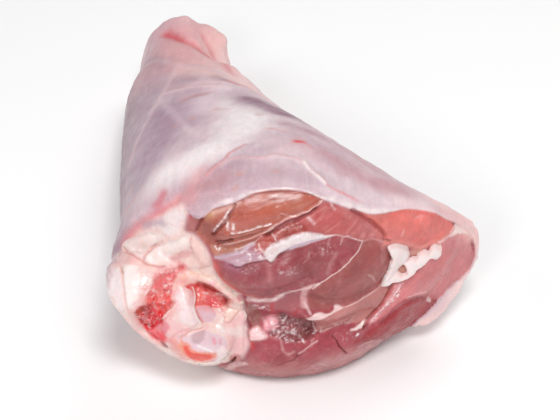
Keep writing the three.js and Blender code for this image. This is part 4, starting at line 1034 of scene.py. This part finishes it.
knuckleParts = {  # outline (x, z) as seen, colour, soft mm, strength, rise mm, wet
    "lobeOuter": ([(-51.4, 28.8), (-49.5, 30.6), (-47.2, 31), (-46.5, 26.3), (-45.8, 21.6), (-45.2, 18),
        (-46.2, 16.2), (-48, 17.6), (-49.4, 20.4), (-53, 19.5), (-53.4, 25)],
        (244, 228, 229), 1, 0.9, 0.1, 0.3),
    "lobeInner": ([(-46.1, 32.3), (-44.5, 34.4), (-41.6, 34.8), (-40, 32.3), (-41, 27.7), (-41.7, 23),
        (-43.5, 19), (-44.9, 18.6), (-45.7, 22.5), (-46.4, 27.2)], (252, 238, 235), 1, 0.9, 0.1, 0.3),
    "cheek": ([(-48.8, 35.5), (-45.2, 38.2), (-41.4, 38), (-38.5, 37.4), (-33.7, 39.4), (-36.3, 36.4),
        (-39.1, 35.2), (-41.6, 35.5), (-44.5, 34.8), (-49.4, 31)], (247, 204, 198), 1.6, 0.85, 0, 0.4),
    "foldA": ([(-46.5, 39.1), (-45.4, 41.9), (-42.2, 45.2), (-38.4, 48.3), (-35.8, 49), (-34.7, 47.9),
        (-36.7, 44.6), (-39.7, 41.1), (-40.4, 38.7), (-43.4, 38.4)], (245, 224, 220), 1, 0.9, 0.15, 0.3),
    "foldB": ([(-40.1, 38), (-39.5, 40.5), (-36.7, 44.2), (-32.2, 47.7), (-28.6, 50.2), (-26, 52.6),
        (-25.7, 49.9), (-26.5, 47.7), (-30.9, 44.5), (-33.1, 41.6), (-34.7, 39.8), (-37.5, 38.5)],
        (251, 235, 231), 1, 0.9, 0.15, 0.3),
    "bridge": ([(-27, 52.6), (-25.3, 52.8), (-22.9, 51.5), (-20.5, 49.8), (-18.4, 46.8), (-19.5, 43.7),
        (-22.8, 41.9), (-25.6, 41.9), (-26.6, 44.9), (-25.8, 48.3)],
        (243, 206, 199), 1.4, 0.85, 0.1, 0.4),
    "mauve": ([(-32.8, 41.5), (-30.9, 43.9), (-27.3, 46.7), (-26.2, 45.8), (-28.8, 43.1), (-31.7, 40.9)],
        (220, 158, 158), 1.3, 0.75, -0.2, 0.5),
    "cavityUp": ([(-33.6, 37.5), (-31.6, 39), (-28.5, 41.1), (-28.8, 38.7), (-30.8, 35.3), (-31.4, 32.1),
        (-32.1, 28.9), (-33.5, 29.7), (-36.2, 29.4), (-38.6, 27.5), (-37.6, 31.7), (-36.3, 34.8)],
        (238, 110, 114), 2, 0.95, 0, 1),
    "cavityMid": ([(-38.6, 27.5), (-36.2, 29.4), (-33.5, 29.7), (-32.1, 28.9), (-31, 26.8), (-32.1, 23.7),
        (-34.8, 19.6), (-36.8, 22.4), (-39.7, 22.1), (-39.3, 25)], (242, 88, 86), 2, 0.95, 0, 1),
    "cavityDeep": ([(-42.5, 18.6), (-41, 21.6), (-38.4, 23.1), (-36.5, 22.5), (-34.7, 21), (-34.8, 18.2),
        (-37.9, 13.5), (-39.8, 11.4), (-41.8, 13.8), (-42.3, 16.5)], (232, 26, 42), 1.4, 0.95, 0, 1),
    "cavityBrown": ([(-42.9, 17.4), (-41.4, 21), (-39.7, 22.4), (-40.5, 19.4), (-42.4, 15.8)],
        (166, 84, 58), 1, 0.7, 0, 0.8),
    "deepRed": ([(-40.5, 12.5), (-38.6, 14.5), (-36.6, 17.6), (-34.7, 20.6), (-33.7, 19.2), (-34.5, 16.4),
        (-36.8, 13.6), (-39.1, 11.3)], (230, 18, 36), 1, 0.9, 0, 1),
    "cavityGrey": ([(-40.4, 20.9), (-39.4, 22.7), (-38.1, 22.3), (-38.3, 19.3), (-39.7, 18.2),
        (-40.9, 18.8)], (160, 80, 82), 1, 0.55, 0, 1),
    "cavityPink": ([(-37.3, 27.6), (-35.9, 29.5), (-34.6, 27.9), (-33.6, 25.7), (-35, 24.6),
        (-36.7, 25.7)], (246, 140, 136), 1, 0.7, 0.3, 1),
    "paleLump": ([(-41.4, 15.7), (-39.8, 17.3), (-38.1, 16.8), (-38.6, 14.7), (-40.4, 13.9)],
        (238, 142, 144), 0.8, 0.75, 0.4, 1),
    "lowBand": ([(-39.1, 10.8), (-36.8, 13.1), (-34.2, 13.7), (-33.5, 11.1), (-35.4, 9.4), (-37.6, 9.6)],
        (226, 90, 100), 1, 0.85, 0, 0.8),
    "cheekPink": ([(-48.9, 34.1), (-46.8, 37.2), (-43.4, 38.4), (-41.4, 38), (-43.5, 36.1), (-47.8, 33)],
        (243, 186, 182), 1.2, 0.6, 0, 0.4),
    "upperFat": ([(-38.2, 51.5), (-33.3, 57.3), (-29.7, 60.4), (-27.6, 59.6), (-28.4, 55.6), (-30.7, 51),
        (-33.6, 49.5), (-35.3, 51.2)], (245, 230, 230), 2, 0.85, 0, 0.4),
    "grainy": ([(-41.6, 34.5), (-38.8, 33.5), (-39.3, 29.5), (-40.4, 25.8), (-41.3, 28), (-40.9, 32)],
        (248, 206, 200), 1.6, 0.8, 0.2, 0.8),
    "ring": ([(-31.4, 32.1), (-30.8, 35.3), (-28.8, 38.3), (-25.6, 40.6), (-22.4, 41.2), (-18.9, 40),
        (-16.2, 37.7), (-13.4, 35.6), (-10, 33.9), (-11.4, 30.5), (-13.9, 30.6), (-16.4, 29.6),
        (-15.3, 32.1), (-16.6, 34.5), (-19.7, 36.5), (-23.3, 36.5), (-26.4, 35.6), (-28, 34.1),
        (-29, 32.6)], (250, 220, 207), 0.8, 0.92, 0.2, 0.4),
    "ringSpot": ([(-20.7, 37.5), (-19.7, 38.4), (-18.8, 37.8), (-19.5, 36.5), (-20.6, 36.4)],
        (242, 198, 206), 0.5, 0.7, 0.2, 0.8),
    "ringRed": ([(-12.8, 34), (-11.3, 34.6), (-11, 33.3), (-12.1, 32.2)],
        (216, 74, 84), 0.8, 0.7, 0, 0.8),
    "pocket": ([(-28.2, 34.1), (-26, 35.7), (-23.3, 36.5), (-19.7, 36), (-16.6, 34.1), (-14.9, 32.6),
        (-16.4, 30), (-19.2, 28.2), (-21.9, 28.4), (-24.3, 27.7), (-25.3, 29.4), (-26, 32.6)],
        (238, 108, 104), 0.8, 0.95, 0, 1),
    "pocketDark": ([(-28.2, 34.1), (-26.4, 35.4), (-24, 35.6), (-25.1, 33.6), (-25.2, 30.2),
        (-26.3, 32.6)], (222, 36, 40), 0.8, 0.85, 0, 1),
    "pocketLow": ([(-22.3, 31.3), (-19.9, 32.3), (-18.5, 31.4), (-19.2, 29), (-21.2, 29)],
        (226, 84, 92), 1, 0.7, 0, 1),
    "strap": ([(-30.7, 32), (-29, 33), (-26.7, 33.3), (-25.6, 31), (-25.3, 26.9), (-24.6, 23.5),
        (-23.9, 21.5), (-25.6, 20.2), (-28.6, 20.2), (-30.3, 23.2), (-30.7, 27.8)],
        (245, 223, 223), 0.7, 0.95, 0.2, 0.4),
    "knob": ([(-24.4, 27.5), (-22.6, 28.3), (-20.2, 28), (-19, 26.1), (-19.8, 23.7), (-21.9, 22.4),
        (-23.6, 22.9), (-24.2, 24.9)], (231, 193, 204), 0.6, 0.9, 0.2, 0.9),
    "chip": ([(-16.8, 29), (-14.6, 29.5), (-12.1, 30), (-12.9, 27), (-15, 23.6), (-16, 24.4),
        (-16.7, 26.5)], (248, 212, 198), 0.5, 0.9, 0.3, 0.4),
    "sideFat": ([(-15.7, 23.1), (-12.5, 27.1), (-11.4, 30.1), (-10.5, 24.1), (-9.8, 19), (-9.5, 13.6),
        (-12.4, 9.4), (-14.8, 10.8), (-15.7, 15.6), (-16.3, 19)], (248, 198, 198), 1, 0.9, 0.1, 0.4),
    "sideWhite": ([(-16.3, 21.7), (-13.6, 22.4), (-10.5, 22.2), (-10.1, 18.9), (-13.3, 18.1),
        (-15.7, 18.5)], (252, 232, 228), 2.2, 0.8, 0.1, 0.4),
    "smallKnob": ([(-18.9, 21.7), (-17.7, 23), (-16.3, 21.7), (-16.5, 19.6), (-17.9, 18.7),
        (-18.9, 19.9)], (252, 232, 230), 0.5, 0.9, 0.2, 0.9),
    "pinkWedge": ([(-34.4, 18.9), (-31.5, 20.4), (-28.6, 19.8), (-26.6, 18), (-29.2, 14.2), (-32.1, 10.3),
        (-33.9, 10.9), (-33.8, 14.9)], (248, 198, 199), 1.2, 0.9, 0.1, 0.5),
    "magenta": ([(-36.3, 16.3), (-33.7, 18.8), (-32.6, 17.4), (-33.8, 13.4), (-35.7, 13.8)],
        (226, 84, 110), 1.1, 0.8, 0, 0.9),
    "lowGlow": ([(-33.6, 11.4), (-31.2, 12.6), (-29.6, 12.2), (-28.9, 8.2), (-27.2, 5.4), (-29, 4.6),
        (-31.6, 6.8)], (238, 136, 128), 2, 0.7, 0, 0.7),
    "condyle": ([(-29.2, 12.7), (-26.7, 16.6), (-22.9, 19), (-19.8, 18.8), (-17, 17.9), (-15.7, 14.6),
        (-16.5, 10.2), (-19.4, 6.6), (-22.8, 5.4), (-26.3, 5.5), (-28.6, 7.8)],
        (238, 207, 216), 0.7, 0.95, 0.1, 1),
    "halo": ([(-29.8, 12.4), (-27.4, 12.6), (-26, 10.8), (-23.6, 10.4), (-20, 11), (-18.8, 10.4),
        (-19.8, 7.4), (-22.8, 5.2), (-26.2, 5), (-29, 7)], (246, 140, 110), 1.3, 0.85, 0, 1),
    "crescent": ([(-28.9, 10.9), (-27.5, 11.5), (-26.5, 9.4), (-23.7, 9.3), (-20.6, 9.8), (-20.6, 8),
        (-23.4, 6.4), (-26.6, 6.2), (-28.4, 8.4)], (240, 66, 46), 1, 0.95, 0, 1),
    "condyleRight": ([(-18.8, 12.3), (-17.1, 14), (-15.5, 11.9), (-16.6, 9.1), (-18.6, 8.5)],
        (250, 230, 226), 1, 0.8, 0, 0.9),
    "orangeLeft": ([(-30.7, 10.5), (-29.2, 11.7), (-28.3, 8.5), (-29.4, 7.4)],
        (246, 164, 136), 1, 0.65, 0, 0.8),
    "grey": ([(-26.2, 16.2), (-24.3, 18.2), (-22.2, 19.2), (-22.5, 16.3), (-23.3, 14.3), (-25.3, 13.2),
        (-26.2, 14.3)], (212, 176, 182), 0.6, 0.9, -0.2, 0.8),
    "ovalA": ([(-20.3, 17), (-19.2, 17.2), (-18.9, 14.6), (-20, 14.2)],
        (238, 168, 182), 0.6, 0.9, 0.15, 1),
    "ovalB": ([(-18.4, 17), (-17.4, 16.8), (-17.2, 14.8), (-18.2, 14.6)],
        (238, 172, 184), 0.6, 0.8, 0.15, 1),
    "lowLeft": ([(-40.4, 12.6), (-37.4, 13.6), (-34.4, 14.2), (-33.9, 10.3), (-35.8, 8.8), (-38.8, 9.6)],
        (238, 40, 60), 1.6, 0.95, 0, 0.8),
    "sideSkin": ([(-50.4, 37), (-47.6, 38), (-48.8, 33.4), (-49.9, 29.5), (-50.6, 25.5), (-51.2, 22.5),
        (-56, 22), (-55, 34)], (196, 168, 173), 2.6, 0.8, 0, 0.3),
    "gapRed": ([(-15.2, 9.6), (-12.2, 10.6), (-11.4, 7.4), (-15, 5.6)], (204, 118, 112), 1, 0.85, 0, 0.6),
    "lowDark": ([(-35.6, 9.6), (-34, 8.9), (-33.5, 7.6), (-35.3, 7.8)],
        (140, 44, 54), 0.6, 0.8, -0.3, 0.8),
    "bottomRim": ([(-24.6, 5.2), (-22.2, 5.2), (-19.4, 6.2), (-18.3, 7.9), (-15.5, 10.8), (-15.9, 9),
        (-18.5, 5), (-21.7, 3.5), (-24.1, 3.4)], (252, 236, 228), 0.6, 0.9, 0.2, 0.8),
    "bottomRed": ([(-19.2, 4.8), (-16.8, 5.4), (-17.1, 1.2), (-19.3, 1.6)],
        (222, 104, 104), 0.8, 0.8, 0, 0.8),
}

knuckleLines = {  # line (x, z) as seen, half width, depth mm, colour, strength; the Glint lines are painted highlights
    "lobeCrease": ([(-47.1, 32.1), (-46.6, 29.5), (-46.2, 25.6), (-45.6, 21.7), (-44.9, 18.1)],
        0.5, 0.5, (234, 182, 176), 0.55),
    "lobeBrown": ([(-47, 31.7), (-46.8, 30.2)], 0.4, 0.2, (206, 144, 120), 0.5),
    "foldCreaseA": ([(-47.2, 38.7), (-46.3, 38), (-43.5, 38.5), (-40.9, 38), (-39.9, 37.4), (-36.7, 37.8),
        (-33.7, 39)], 0.4, 0.6, (222, 128, 126), 0.65),
    "foldCreaseB": ([(-40.3, 38.3), (-40, 39.9), (-38.6, 42.5), (-36.7, 44.6), (-34.8, 47.5)],
        0.4, 0.7, (222, 150, 146), 0.6),
    "redLine": ([(-26, 51.8), (-26.3, 49.7), (-26.2, 48.2), (-25.8, 46.3)],
        0.35, 0.3, (226, 142, 144), 0.55),
    "chipEdge": ([(-17.1, 28.6), (-16.4, 26.5), (-16.4, 23.9), (-14.6, 24.1), (-13.2, 27), (-12.1, 29.5)],
        0.25, 0.25, (224, 140, 132), 0.6),
    "wedgeVein": ([(-32.8, 11), (-30.9, 14.9), (-28.7, 17.3), (-26.3, 19)],
        0.3, 0.15, (236, 150, 150), 0.55),
    "strapSide": ([(-25, 33.8), (-24.3, 30.2), (-24.8, 27.2), (-23.9, 24.4), (-22.9, 22)],
        0.35, 0.5, (228, 112, 96), 0.65),
    "strapEdge": ([(-25.8, 34.1), (-25.1, 30.3), (-25.6, 27.2), (-24.7, 24.4), (-23.7, 21.9)],
        0.25, -0.3, (255, 250, 248), 0.85),
    "condyleTop": ([(-29.2, 13.9), (-26.8, 17.4), (-22.9, 19.8)], 0.35, 0.4, (240, 152, 142), 0.55),
    "condyleGlint": ([(-24.2, 12.8), (-22, 12), (-20.3, 11.4)], 0.5, 0, (255, 250, 250), 0.85),
    "ringStreak": ([(-29.3, 36.2), (-26.8, 38.6), (-23.5, 39.6), (-20, 39.2)],
        0.3, 0, (243, 178, 148), 0.5),
    "leftRim": ([(-45.9, 13.4), (-43.6, 9.9), (-40, 8.1), (-35.5, 7.6)], 0.7, -0.2, (246, 190, 190), 0.6),
    "lowRed": ([(-39.8, 10.8), (-37.3, 10.4), (-35.1, 8.8)], 0.5, 0.2, (204, 60, 74), 0.6),
    "cavityEdge": ([(-30.7, 26.5), (-31.8, 24.3), (-34.8, 19.4)], 0.3, -0.4, (253, 232, 228), 0.8),
    "cavityStreak": ([(-36.9, 19), (-35.2, 17.5)], 0.6, 0, (206, 20, 34), 0.8),
    "cavityGlint": ([(-37.6, 31.7), (-38.6, 28.8), (-39.6, 26.2)], 0.25, -0.2, (253, 226, 224), 0.6),
    "pocketGlint": ([(-18.6, 33.6), (-16.8, 33.7), (-15.6, 32.7)], 0.5, 0, (255, 244, 242), 0.85),
    "pocketGlintB": ([(-23, 33), (-21.6, 33)], 0.35, 0, (255, 240, 238), 0.7),
}

paintedSparkle = {  # painted sparkle, white glints on torn fat: line (x, z) as seen, reach, mm
    "cheek": ([(-40.4, 34), (-39.4, 31.6), (-40, 28.6)], 1.1),
    "cavityTop": ([(-34.6, 36.6), (-32.4, 38.2)], 0.9),
    "cavityMid": ([(-33.6, 32), (-33.2, 29)], 0.7),
    "pocket": ([(-19.2, 33), (-16.6, 33)], 0.7),
    "seam": ([(-17.8, 27.8), (-16.6, 25.4), (-17.6, 23.2)], 0.6),
}


def addRoll(path, across, deep):  # soft balls close together along a path
    line = np.array([alongView(*spot) for spot in (smoothLine(path) if len(path) > 1 else path)])
    made = []
    last = None
    for spot in line:
        if last is not None and np.linalg.norm(spot - last) < across * 0.3:
            continue
        last = spot
        at = Vector((spot[0] + cutAt["x"], spot[1] + cutAt["y"], spot[2])) * mm
        bpy.ops.mesh.primitive_uv_sphere_add(segments=24, ring_count=14, radius=1, location=at,
                                             scale=(across * mm, deep * mm, across * mm))
        bpy.ops.object.transform_apply(location=True, rotation=True, scale=True)
        made.append(bpy.context.active_object)
    return made


def knuckleMesh():  # the bone's end with its soft rolls grown together
    piece = copyNode("shank_bone", "kneeKnuckle")
    bpy.ops.object.select_all(action="DESELECT")
    added = [ball for lump in lumps.values() for ball in addRoll(*lump)]
    pickOnly(piece, *added)
    bpy.ops.object.join()
    evened(piece, knuckle["voxel"], knuckle["rounds"])
    setPlaces(piece, nudged(vertexPlaces(piece)))
    refine(piece, behindCut(vertexPlaces(piece)) < knuckle["fineReach"], 2)
    return piece


def paintKnuckle(here):  # colour with painted glints, moisture, relief and tears of fat and gristle
    spots = waver(seen(here), here, *knuckle["waver"])
    coat = evenCoat(len(here), kneeTones["fat"])
    wet = np.full(len(here), knuckle["wet"])
    out = knuckle["uneven"] * grain(here, kneeGrain["uneven"])
    torn = np.zeros(len(here))
    lay(coat, 0.6 * ramp(grain(here, kneeGrain["blush"]), 0.0, 0.5), kneeTones["blush"])
    frayed = grain(here, kneeGrain["frayed"])
    for line, colour, soft, full, rise, film in knuckleParts.values():
        far = outlineDistance(spots, line)
        mask = ramp(far + 0.4 * soft * frayed, soft * 0.6, -soft * 0.6)
        lay(coat, full * mask, colour)
        wet = mixed(wet, mask, film)
        out += rise * rounded(-far, 1.4)
    for line, deep in pits.values():
        far = outlineDistance(spots, line)
        lay(coat, 0.5 * ramp(far + 1.4 * frayed, 2.6, 0.3) * ramp(far, -0.6, 0.6), kneeTones["frayed"])
        torn = np.maximum(torn, deep * ramp(far, 0.4, -1.2))
    mottle = 0.035 * grain(here, kneeGrain["mottle"]) + 0.12 * torn * grain(here, kneeGrain["raw"])
    coat *= (1 + mottle)[:, None]
    lay(coat, 0.2 * ramp(grain(here, kneeGrain["speck"]), 0.3, 0.7), kneeTones["speck"])
    for line, wide, deep, colour, full in knuckleLines.values():
        mark = bell(lineDistance(spots, line), wide)
        lay(coat, full * mark, colour)
        out -= deep * mark
    # painted glints: white sparkle scattered in the tears
    lay(coat, 0.55 * torn * ramp(grain(here, kneeGrain["torn"]), 0.42, 0.56), kneeTones["torn"])
    # painted highlights: white sparkle on torn fat
    sparkle = ramp(grain(here, kneeGrain["paintedSparkle"]), 0.12, 0.36)
    for line, reach in paintedSparkle.values():
        lay(coat, 0.9 * sparkle * bell(lineDistance(spots, line), reach), kneeTones["paintedSparkle"])
    return coat * knuckle["tone"], wet, out, torn


def makeKnuckle():
    piece = knuckleMesh()
    places = vertexPlaces(piece)
    normals = vertexNormals(piece)
    front = np.nonzero(behindCut(places) < knuckle["paintReach"])[0]
    here = places[front]
    view = np.array(knuckle["view"])
    turned = -(normals[front] @ view)  # 1 where it faces the viewer
    facing = ramp(turned, -0.2, 0.3)
    shown = ramp(turned, -0.75, -0.35)
    coat, film, out, torn = paintKnuckle(here)
    paint = evenCoat(len(places), kneeTones["fat"])
    paint[front] = mixed(paint[front], shown, coat)
    wet = np.full(len(places), knuckle["wet"])
    wet[front] = film
    sink = torn * shown * (knuckle["deep"] - knuckle["ragged"] * grain(here, kneeGrain["sink"]))
    places[front] += normals[front] * (out * facing)[:, None] + view * sink[:, None]
    setPlaces(piece, places)
    storePaint(piece, paint, 0.4 - 0.2 * wet, wet)
    finishPiece(piece, "shank_bone", tissue("jointBoneAndGristle", knuckle["look"]))


# The pocket of fat

pocket = {
    "voxel": 0.4, "rounds": 3, "grow": 0.7,  # mm, smoothing rounds, and mm added all round
    "fat": [  # outline (x, z)
        (31.7, 46.8), (34.2, 46.6), (36.9, 44.8), (38.8, 41.2), (38.3, 39.7), (37.9, 39.1), (39.8, 39.4),
        (41.1, 39), (41.8, 40), (43.5, 40.3), (44.8, 39.4), (45.6, 40.5), (47, 40.7), (48.7, 39.1),
        (49, 37.1), (47.7, 36.6), (45.5, 37.8), (44.5, 37.3), (42.8, 36.3), (41.5, 36), (40.1, 34.3),
        (37.7, 33.8), (35.5, 33.3), (34, 33.1), (32.8, 32.2), (31.1, 31.9), (30.1, 32), (31, 35.4),
        (31.7, 37.2), (32, 39.4), (33.1, 41.8), (33.2, 43), (32.3, 45.4)],
    "hole": [
        (35.2, 36.6), (36.9, 38.1), (37.8, 37.1), (38.1, 35.4), (36.4, 35)],
    "proud": 0.15, "high": 0.8, "dive": 3.0,  # height of its edge and lobes, and depth beside them, mm
    "flush": 1.7, "sink": 0.9,  # how far the bed and the fat lie back, mm
    "waver": (0.2, 2.2, 2, (21, 57)),  # reach of the wavering in mm, then its noise
    "blushes": (4, 3, 15), "bumps": (2.5, 2, 7),  # noise: size in mm, octaves, shift
    "white": (238, 223, 222), "blush": (240, 214, 210), "edge": (236, 196, 192), "rough": 0.36, "wet": 0.2,
    "look": {"grain": 0.8, "mottle": 0.03, "film": 5, "lift": 0.15, "ripple": 1.6, "swell": 0.4,
             "glow": 0.35, "depth": 1.8, "coatRough": 0.15},
}


def makePocket():
    piece = copyNode("fat_pocket", "fatPocket")
    evened(piece, pocket["voxel"], pocket["rounds"])
    places = vertexPlaces(piece)
    normals = vertexNormals(piece)
    places[:, [0, 2]] += normals[:, [0, 2]] * pocket["grow"]
    spots = waver(places[:, [0, 2]], places, *pocket["waver"])
    fat = np.maximum(outlineDistance(spots, pocket["fat"]), -outlineDistance(spots, pocket["hole"]))
    facing = ramp(normals[:, 1], 0.2, -0.3)
    paint = evenCoat(len(places), pocket["white"])
    lay(paint, 0.4 * ramp(grain(places, pocket["blushes"]), 0.0, 0.5), pocket["blush"])
    lay(paint, 0.5 * ramp(fat, -0.7, 0.1), pocket["edge"])
    high = pocket["proud"] + pocket["high"] * rounded(-fat, 1.6) + 0.15 * grain(places, pocket["bumps"])
    places[:, 1] += facing * np.where(fat < 0, -high, pocket["dive"] * ramp(fat, 0, 0.5))
    places += np.array(knuckle["view"]) * (pocket["sink"] * facing)[:, None]
    setPlaces(piece, places)
    storePaint(piece, paint, np.full(len(places), pocket["rough"]), np.full(len(places), pocket["wet"]))
    finishPiece(piece, "fat_pocket", tissue("firmWhiteFat", pocket["look"]))


# Floor, light and camera

studio = {
    "floor": (250, 250, 250), "floorRough": 0.8, "floorSize": 6, "world": 0.27,
    "lamps": {  # place in m, size in m, power in W
        "keySoftbox": {"at": (0.1, -0.42, 0.85), "size": 0.28, "power": 4.4},
        "rightFill": {"at": (0.65, -0.3, 0.12), "size": 0.4, "power": 0.5},
        "frontLamp": {"at": (-0.25, -0.75, 0.55), "size": 0.18, "power": 1.5},
        "leftSoftbox": {"at": (-0.7, -0.2, 0.5), "size": 0.5, "power": 1.5},
        "backSoftbox": {"at": (0.35, 0.6, 0.75), "size": 0.6, "power": 3},
    },
    "target": (-3.42, -30.84, 30), "distance": 500, "rise": 38, "lens": 100, "sensor": 36,  # mm and degrees
}


def makeFloor():
    bpy.ops.object.select_all(action="DESELECT")
    bpy.ops.mesh.primitive_plane_add(size=studio["floorSize"], location=(0, 0, -0.0002))
    floor = bpy.context.active_object
    floor.name = "paleFloor"
    coating = bpy.data.materials.new("paleFloor")
    coating.use_nodes = True
    surface = coating.node_tree.nodes["Principled BSDF"]
    surface.inputs["Base Color"].default_value = (*linear(studio["floor"]), 1)
    surface.inputs["Roughness"].default_value = studio["floorRough"]
    floor.data.materials.append(coating)


def makeStudio():
    makeFloor()
    world = bpy.data.worlds.new("studio")
    bpy.context.scene.world = world
    world.use_nodes = True
    sky = world.node_tree.nodes["Background"]
    sky.inputs["Color"].default_value = (1, 1, 1, 1)
    sky.inputs["Strength"].default_value = studio["world"]
    middle = Vector(studio["target"]) * mm
    for name, lamp in studio["lamps"].items():
        bpy.ops.object.light_add(type="AREA", location=lamp["at"])
        light = bpy.context.active_object
        light.name = name
        light.data.size = lamp["size"]
        light.data.energy = lamp["power"]
        light.rotation_euler = (middle - light.location).to_track_quat("-Z", "Y").to_euler()
    rise = math.radians(studio["rise"])
    eye = middle + Vector((0, -math.cos(rise), math.sin(rise))) * studio["distance"] * mm
    bpy.ops.object.camera_add(location=eye, rotation=(math.pi / 2 - rise, 0, 0))
    camera = bpy.context.active_object
    camera.name = "viewCamera"
    camera.data.lens = studio["lens"]
    camera.data.sensor_width = studio["sensor"]
    camera.data.clip_start = 0.01
    bpy.context.scene.camera = camera
    bpy.context.scene.view_settings.view_transform = "Standard"
    print("floor, light and camera set")


makeMeat()
makeKnuckle()
makePocket()
makeStudio()
